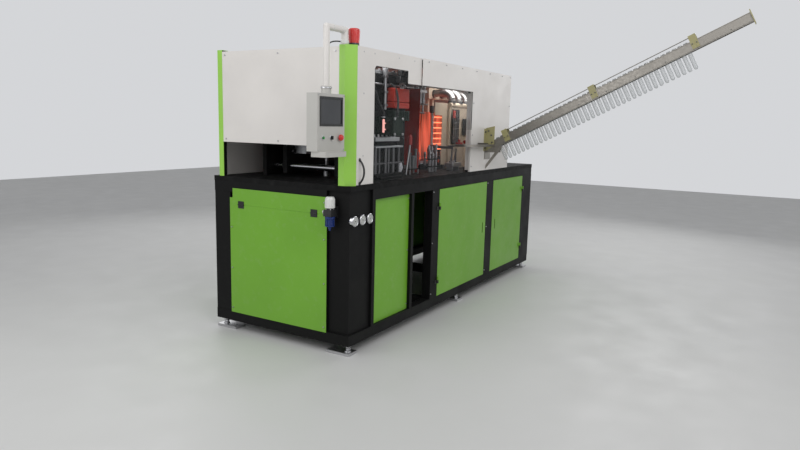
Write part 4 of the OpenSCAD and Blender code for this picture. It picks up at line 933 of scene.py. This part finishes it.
class MACHINE_OT_oven_fittings(Builder, bpy.types.Operator):
    """Lamp caps, cooling ducts, cylinders, chain guides and the window frame of the oven"""
    bl_idname = "machine.oven_fittings"
    bl_label = "Oven Fittings"

    DUCT = [(0, 0, 1912), (0, 0, 1950), (12, 40, 1998), (34, 120, 2016), (46, 200, 2008), (48, 236, 2004)]

    def build(self):
        self.lamp_ends()
        self.ducts()
        self.cylinders()
        self.housing_fronts()
        guides = Shape()
        for y, inward in sides(471):
            guides.block((2050, y - 4 - 34 * inward, TABLE + 40), (2660, y + 4 - 34 * inward, TABLE + 62))
        guides.done("chain_guides", "plastic", bevel=1)
        for side, x in SPROCKET_XS.items():
            Shape().hexagon((x, PARTING, TABLE + 86), UP, 34, 14).done(
                f"sprocket_nut_{side}", "dull_steel", f"sprocket_{side}")

    def lamp_ends(self):
        ends, wires, heads, necks, rack = (Shape() for _ in range(5))
        for x, way in ((1960, RIGHT), (2226, LEFT), (2236, RIGHT), (2640, LEFT)):
            ends.turned(grid(x, both(LAMP_Y), LAMP_ZS), way, [
                (9, -2), (11, 0), (11, 14), (8, 18), (6.4, 22)], 12)
        for y, inward in sides(LAMP_Y):
            for z in LAMP_ZS:
                wires.swept([(1953, y, z), (1938, y - 6 * inward, z + 10), (1934, y - 8 * inward, z + 60),
                             (1934, y - 8 * inward, 1850)], 3, 8)
            rack.block((1924, y - 14, 1800), (1962, y + 14, 1870))
        for y in both(387):
            heads.plate([(1968, 1782), (2126, 1782), (2126, 1292), (2238, 1292), (2238, 1904), (1968, 1904)],
                        y - 2.5, y + 2.5)
        for y, inward in sides(505):
            necks.plate([(2060, 1340), (2650, 1340), (2650, 1452), (2640, 1462), (2070, 1462), (2060, 1452)],
                        y - 2, y + 2)
            low, high = sorted((y, y + 23 * inward))
            for x in (2100, 2340, 2600):
                necks.block((x - 8, low, 1420), (x + 8, high, 1440))
        ends.done("lamp_caps", "white_plastic")
        wires.done("lamp_wires", "white_plastic")
        heads.done("lamp_heads", "cream", bevel=1)
        necks.done("neck_shields", "cast", bevel=1)
        rack.done("lamp_terminals", "plastic", bevel=2)

    def ducts(self):
        ducts, collars = Shape(), Shape()
        r = sizes().duct_d * 500
        for (y, inward), x in product(sides(DUCT_Y), DUCT_XS):
            ducts.swept(routed((x, y, 0), self.DUCT, 1, inward), r, 18, 2.6, 13)
            collars.turned((x, y, 1906), UP, [(r + 4, 0), (r + 4, 24), (r + 1, 26)])
            collars.turned((x + 48, y + 218 * inward, 2004), (0, inward, 0), [(r + 3, 0), (r + 3, 24)])
        ducts.done("cooling_ducts", "foil")
        collars.done("duct_collars", "dull_steel")
        plenum = Shape().block((2250, 608, 1950), (2860, 722, 2062))
        for x in (2290, 2390):
            plenum.block((x, 640, 1700), (x + 40, 690, 1951))
        plenum.done("duct_plenum", "cream", bevel=4)

    def cylinders(self):
        bank = Shape().block((1566, 392, 1986), (1812, 428, 2008))
        for x in (1636, 1700, 1764):
            bank.turned((x, 410, 1886), UP, [
                (16, 0), (22, 3), (22, 26), (19, 28), (19, 126), (22, 128), (22, 156), (16, 160)])
            bank.rod((x, 410, 1800), (x, 410, 1890), 8, 16)
        bank.done("preform_cylinders", "steel", bevel=0.6)
        cross = Shape().block((1566, 402, 1872), (1860, 418, 1884))
        cross.block((1620, 398, 1790), (1784, 422, 1802)).done("cylinder_crossbar", "dull_steel", bevel=1)
        cover = Shape().block((806, 150, 1866), (1054, 215, 1975)).block((800, 140, 1816), (1040, 215, 1862))
        cover.done("clamp_valve_cover", "red_box", bevel=4)

    def housing_fronts(self):
        vents, dark, opening_shade, trim, seams, inside = (Shape() for _ in range(6))
        for y, inward in sides(OVEN_FACE):
            vents.rim((2520, 2702), sorted((y - 4 * inward, y + inward)), (1584, 1756), 8, 8)
            seams.bolt(grid((2262, 2460, 2660, 2880), y, (1290, 1480, 1860)), (0, -inward, 0), 6)
        for y in both(349):
            dark.block((2528, y - 0.8, 1592), (2694, y + 0.8, 1748))
        # A thin black sheet in each side opening of the housings: painted shade, standing for the dark inside
        # of the recess behind the rods.
        for y in both(343.4):
            opening_shade.block((2272, y - 1.2, 1500), (2412, y + 1.2, 1838))
        for y in both(341):
            trim.block((2412, y - 3, 1496), (2432, y + 3, 1846))
            trim.block((2262, y - 3, 1838), (2412, y + 3, 1846))
        rods = ((2290, 1790, 4), (2318, 1836, 3), (2340, 1720, 6), (2366, 1836, 3), (2390, 1760, 5))
        for x, top, r in rods:
            inside.rod((x, 337, 1504), (x, 337, top), r, 12)
        for z in (1560, 1648, 1706):
            inside.rod((2276, 333, z), (2412, 333, z + 8), 4, 12)
        vents.done("vent_frames", "dull_steel", bevel=1)
        dark.done("vent_screens", "plastic")
        opening_shade.done("opening_shade_sheets", "cast", slot="filter_black")
        trim.done("opening_frames", "dull_steel", bevel=1)
        inside.done("opening_rods", "steel")
        Shape().block((2276, 334, 1762), (2330, 342, 1834)).done("opening_cover", "red_box", bevel=1.5)
        seams.done("housing_screws", "zinc")


class MACHINE_OT_transfer_fittings(Builder, bpy.types.Operator):
    """Posts, fingers and small cylinders that stand on the table before the shuttle"""
    bl_idname = "machine.transfer_fittings"
    bl_label = "Transfer Fittings"

    POSTS = ((1640, 250, 1442), (1668, 276, 1490), (1700, 250, 1420), (1726, 276, 1476), (1762, 250, 1500),
             (1794, 276, 1450))

    def build(self):
        posts = Shape()
        for x, y, height in self.POSTS:
            posts.rod((x, y, TABLE), (x, y, height), 8, 16)
            posts.turned((x, y, height - 26), UP, [(8, -2), (13, 2), (13, 20), (9, 24), (5, 40)], 18)
        posts.done("finger_posts", "steel")
        plates = Shape().block((1624, 236, 1366), (1812, 292, 1376))
        plates.block((1624, 236, 1296), (1812, 292, 1308)).block((1250, 236, 1290), (1420, 300, 1300))
        plates.done("finger_plates", "cast", bevel=1.5)
        cylinders = Shape()
        for x, length, r in ((1290, 140, 18), (1352, 110, 22), (1400, 170, 14)):
            cylinders.turned((x, FINGER_Y, 1300), UP, [
                (r, 0), (r, 14), (r - 3, 16), (r - 3, length - 16), (r, length - 14), (r, length),
                (r * 0.4, length + 2)], 22)
        cylinders.done("transfer_cylinders", "dull_steel", bevel=0.6)
        feet = Shape()
        for x, y in product((1262, 1408), (246, 290)):
            feet.rod((x, y, TABLE), (x, y, 1291), 7, 12)
        feet.rod((1232, FINGER_Y, TABLE), (1290, FINGER_Y, 1502), 8, 14)
        feet.rod((1290, FINGER_Y, 1438), (1290, FINGER_Y, 1520), 7, 14).done("transfer_links", "steel")
        Shape().turned((1290, FINGER_Y, 1508), UP, [(14, 0), (20, 4), (20, 70), (14, 76), (10, 90)], 22).done(
            "transfer_grip", "arm_red")
        gate = Shape().block((1968, 168, 1286), (2150, 262, 1326)).block((2010, 190, 1326), (2060, 240, 1344))
        for x in (1984, 2118):
            gate.block((x, 182, TABLE), (x + 16, 248, 1287))
        gate.done("gate_cover", "alu", bevel=4)
        levers = Shape()
        for x, lean in ((1990, 24), (2030, -18), (2076, 20), (2120, -22)):
            levers.rod((x, 214, 1324), (x + lean, 206, 1424), 7, 12)
            levers.line([(x + lean + dx, 206, 1442 + dz) for dx, dz in arc(18, 0, 30, 13)], 4)
        levers.done("gate_levers", "dull_steel")
        pusher = Shape().turned((2030, 86, 1532), RIGHT, [(12, 0), (17, 3), (17, 150), (12, 154)], 20)
        for x in (2044, 2150):
            pusher.block((x, 70, 1512), (x + 20, 102, 1526))
        pusher.done("infeed_pusher", "arm_red", bevel=1)


class MACHINE_OT_infeed_fittings(Builder, bpy.types.Operator):
    """Rail lips, bolts, sensor and preform threads of the infeed chute"""
    bl_idname = "machine.infeed_fittings"
    bl_label = "Infeed Fittings"

    def build(self):
        chute, lips, bolts, hanger = self.chute, Shape(), Shape(), Shape()
        for s, z in product((-1, 1), (6, 74)):
            lips.rod(chute(s * 33.6, 10, z), chute(s * 33.6, CHUTE_L - 6, z), 1.6, 8, 0.2)
        lips.done("chute_lips", "chute_alu")
        for s, way in ((-1, LEFT), (1, RIGHT)):
            bolts.bolt([chute(s * 38, u + du, 54) for u in (200, 1120, 2030) for du in (-18, 18)], way, 7)
            bolts.bolt([chute(s * 33, 150 + k * 270, 20) for k in range(9)], way, 5)
        bolts.done("chute_bolts", "dull_steel")
        hanger.plate([(-92, 1496), (-1, 1440), (-1, 1668), (-92, 1690)], 2344, 2349, "YZ")
        hanger.block((2296, -3.4, 1440), (2346, -0.1, 1660))
        for lift in (30, 66):
            foot = chute(-41, 2, lift)
            hanger.rod(foot, foot + Vector((9, 0, 0)), 7, 14)
        hanger.done("chute_hanger", "olive", bevel=1)
        clamps = Shape().bolt(grid(2320, -3.4, (1470, 1630)), FRONT, 10)
        clamps.bolt([(2344, y, z) for y, z in ((-60, 1600), (-30, 1640), (-70, 1530))], LEFT, 10)
        clamps.done("chute_hanger_bolts", "dull_steel")
        rings = [chute(0, 100 + k * 49, lift) for k in range(39) for lift in (73, 79, 85)]
        Shape().turned(rings, (0, math.sin(CHUTE_SLOPE), math.cos(CHUTE_SLOPE)), [
            (18, 0), (19.3, 1), (19.3, 2), (18, 3)], 14).done("preform_threads", "pet")
        sensor = Shape().rod(chute(40, 820, 30), chute(58, 820, 30), 9, 16)
        sensor.rod(chute(33.2, 820, 30), chute(40, 820, 30), 6, 12).hexagon(chute(34, 820, 30), RIGHT, 24, 4)
        sensor.done("chute_sensor", "plastic")
        Shape().block((2146, CHUTE_Y - 38, 1518), (2184, -3, 1524)).done("track_stay_cap", "plastic", bevel=1)
        stop = Shape().block((1888, 60, 1512), (1938, 112, 1530))
        stop.rod((1912, 86, 1530), (1912, 86, 1556), 12, 18).done("infeed_stop", "arm_red", bevel=2)

    @staticmethod
    def chute(x, u, z):
        """A place on the chute in machine millimetres."""
        c, s = math.cos(CHUTE_SLOPE), math.sin(CHUTE_SLOPE)
        return Vector((CHUTE_X + x, CHUTE_Y - u * c + z * s, CHUTE_Z + u * s + z * c))


class MACHINE_OT_pendant_fittings(Builder, bpy.types.Operator):
    """Screen, bezel, button collars, tray edge and clamp rings of the operator pendant"""
    bl_idname = "machine.pendant_fittings"
    bl_label = "Pendant"

    def build(self):
        x0, x1 = DROP_X - PENDANT_W / 2, DROP_X + PENDANT_W / 2
        z1 = GUARD_TOP - PENDANT_DROP
        z0 = z1 - PENDANT_H
        y, row = 35, z0 + 90
        Shape().block((x0 + 34, y + 1.4, z0 + 180), (x1 - 34, y + 3.2, z1 - 35)).done(
            "pendant_screen", "screen", "pendant", bevel=0.6)
        Shape().rim((x0 + 22, x1 - 22), (y - 4, y + 0.4), (z0 + 166, z1 - 21), 14, 16).done(
            "pendant_bezel", "plastic", "pendant", bevel=1.2, slot="switch_black")
        rings = Shape()
        for bx, r in ((x0 + 240, 13), (x0 + 60, 14), (x0 + 150, 15)):
            rings.turned((bx, y + 0.2, row), FRONT, [
                (r + 2, 0), (r + 2, 1.6), (r, 3), (9.2, 3), (9.2, 0)], 28)
        rings.done("button_collars", "zinc", "pendant")
        Shape().turned((x0 + 240, y, row), FRONT, [
            (19.4, 9.6), (21.6, 11), (21.8, 17), (20, 22), (15, 27.5), (6, 29.2), (0, 29.4)], 36).done(
            "stop_mushroom", "red_plastic", "emergency_stop")
        Shape().turned((x0 + 60, y, row), FRONT, [
            (8.2, 4.4), (8.9, 4.8), (8.9, 8.4), (7.8, 9.8), (0, 10.4)], 28).done(
            "start_lens", "green_plastic", "start_button")
        edge = Shape()
        for z in (z0 - 34, z0 - 1):
            edge.rod((x0 + 12, y - 60, z), (x0 + 238, y - 60, z), 2, 8, 0.2)
        edge.done("tray_edges", "grey", "pendant")
        clamp = Shape().turned((DROP_X, MAST_Y, z1 + 34), UP, [(36, 0), (37, 1), (37, 9), (36, 10)], 32)
        clamp.bolt((DROP_X, 43, z1 + 39), FRONT, 8).bolt((DROP_X + 37, MAST_Y, z1 + 20), RIGHT, 8)
        clamp.done("pendant_clamp", "zinc", "pendant")
        screws = Shape().bolt(grid((x0 + 10, x1 - 10), y, (z0 + 10, z1 - 10)), FRONT, 5)
        screws.bolt(grid((x0 + 30, x1 - 30), y + 90, (z0 + 40, z1 - 40)), BACK, 5)
        screws.done("pendant_screws", "zinc", "pendant")
        arm = Shape().turned(grid((DROP_X + 60, -20), MAST_Y, GUARD_TOP + 95), RIGHT, [
            (24, 0), (25, 1), (25, 7), (24, 8)], 28)
        arm.turned((MAST_X, MAST_Y, GUARD_TOP + 6), UP, [(27, 0), (29, 2), (29, 20), (27, 22)], 32)
        arm.done("arm_rings", "white_plastic", "pendant_arm", slot="white_paint")


class MACHINE_OT_beacon_fittings(Builder, bpy.types.Operator):
    """Base ring, lens ribs and cap of the beacon"""
    bl_idname = "machine.beacon_fittings"
    bl_label = "Beacon"

    def build(self):
        x, y, z = 108, 62, GUARD_TOP - 8
        Shape().turned((x, y, z), UP, [(36, 0), (38, 2), (38, 22), (36.5, 25)], 36).done(
            "beacon_base", "plastic")
        ribs = Shape()
        for (ax, ay), (bx, by) in zip(arc(36.5, 0, 18, 20), arc(40.8, 0, 18, 20)):
            ribs.rod((x + ax, y + ay, z + 28), (x + bx, y + by, z + 110), 1.5, 8, 0.3)
        ribs.done("beacon_ribs", "lens")
        Shape().turned((x, y, z + 111), UP, [
            (41, 0), (42, 2), (40, 8), (34, 13), (18, 16), (0, 16.6)], 36).done("beacon_cap", "lens")


class MACHINE_OT_stage(Builder, bpy.types.Operator):
    """Pale floor, plain surroundings and soft studio lamps"""
    bl_idname = "machine.stage"
    bl_label = "Stage"

    def build(self):
        bpy.context.scene.view_settings.view_transform = "Standard"
        self.surroundings()
        self.floor()
        s = sizes()
        for name, place, aim, power, size in (
                ("key", (-2.6, -4.2, 4.4), (0, 0, 1.2), s.key, 4.5),
                ("fill", (-5.0, 0.6, 3.0), (-1.2, 0, 1.3), s.fill, 3.2),
                ("back", (2.0, 4.6, 4.0), (0, 0, 1.2), s.fill, 4.0),
                ("right", (5.4, -1.6, 3.4), (0.8, 0, 1.2), s.fill, 3.5),
                ("cabin_left", (-1.2, -0.4, 2.14), None, 1.6, 0.36),
                ("cabin_right", (0.5, -0.4, 2.14), None, 3.6, 0.36)):
            data = bpy.data.lights.new(name, "AREA")
            data.energy = power
            data.size = size
            lamp = placed(name, data)
            lamp.location = place
            if aim:
                lamp.rotation_euler = (Vector(aim) - Vector(place)).to_track_quat("-Z", "Y").to_euler()

    def surroundings(self):
        """A dim pale world that lights the machine, and a brighter one that only rays of sight meet."""
        world = bpy.context.scene.world = bpy.data.worlds.new("surroundings")
        world.use_nodes = True
        tree = world.node_tree
        light = tree.nodes["Background"]
        light.inputs["Color"].default_value = (0.9, 0.91, 0.93, 1)
        light.inputs["Strength"].default_value = sizes().world
        seen = tree.nodes.new("ShaderNodeBackground")
        seen.inputs["Color"].default_value = (0.66, 0.67, 0.69, 1)
        seen.inputs["Strength"].default_value = 1
        rays = tree.nodes.new("ShaderNodeLightPath")
        either = rays.outputs["Is Camera Ray"]
        for ray in ("Is Glossy Ray", "Is Transmission Ray"):
            larger = tree.nodes.new("ShaderNodeMath")
            larger.operation = "MAXIMUM"
            tree.links.new(either, larger.inputs[0])
            tree.links.new(rays.outputs[ray], larger.inputs[1])
            either = larger.outputs[0]
        mix = tree.nodes.new("ShaderNodeMixShader")
        for output, socket in ((either, mix.inputs["Fac"]), (light.outputs[0], mix.inputs[1]),
                               (seen.outputs[0], mix.inputs[2]),
                               (mix.outputs[0], tree.nodes["World Output"].inputs["Surface"])):
            tree.links.new(output, socket)

    def floor(self):
        mesh = bpy.data.meshes.new("floor")
        bm = bmesh.new()
        bmesh.ops.create_grid(bm, x_segments=8, y_segments=8, size=14)
        bm.to_mesh(mesh)
        bm.free()
        floor = placed("floor", mesh)
        floor.location.z = -0.001
        finish = Finish("floor_paint", (0.62, 0.62, 0.61), 0.55)
        finish.tint(finish.noise(0.6, 4), 0.35, 0.7, 0.3, (0.56, 0.56, 0.56))
        finish.rough(finish.noise(3, 4), 0.45, 0.65)
        mesh.materials.append(finish.mat)


BUILDERS = (
    MACHINE_OT_camera, MACHINE_OT_hoses, MACHINE_OT_node_finishes, MACHINE_OT_service_bay,
    MACHINE_OT_base_trim, MACHINE_OT_guard_trim, MACHINE_OT_clamp_fittings,
    MACHINE_OT_blowing_fittings, MACHINE_OT_oven_fittings,
    MACHINE_OT_transfer_fittings, MACHINE_OT_infeed_fittings, MACHINE_OT_pendant_fittings,
    MACHINE_OT_beacon_fittings, MACHINE_OT_stage)


class MACHINE_PT_panel(bpy.types.Panel):
    """Lists the settings and the builders in the 3D view's sidebar"""
    bl_idname = "MACHINE_PT_panel"
    bl_label = "Blow Moulding Machine"
    bl_space_type = "VIEW_3D"
    bl_region_type = "UI"
    bl_category = "Machine"

    def draw(self, context):
        column = self.layout.column()
        for settings in (context.scene.machine_colours, context.scene.machine_sizes):
            for name in settings.__annotations__:
                column.prop(settings, name)
        for builder in BUILDERS:
            column.operator(builder.bl_idname)


CLASSES = (MachineColours, MachineSizes, *BUILDERS, MACHINE_PT_panel)


def register():
    for cls in CLASSES:
        bpy.utils.register_class(cls)
    bpy.types.Scene.machine_colours = bpy.props.PointerProperty(type=MachineColours)
    bpy.types.Scene.machine_sizes = bpy.props.PointerProperty(type=MachineSizes)


def unregister():
    del bpy.types.Scene.machine_sizes
    del bpy.types.Scene.machine_colours
    for cls in reversed(CLASSES):
        bpy.utils.unregister_class(cls)


def main():
    register()
    FINISHES.update(finishes())
    for builder in BUILDERS:
        group, name = builder.bl_idname.split(".")
        getattr(getattr(bpy.ops, group), name)()
    bpy.context.view_layer.update()


if __name__ == "__main__":
    main()
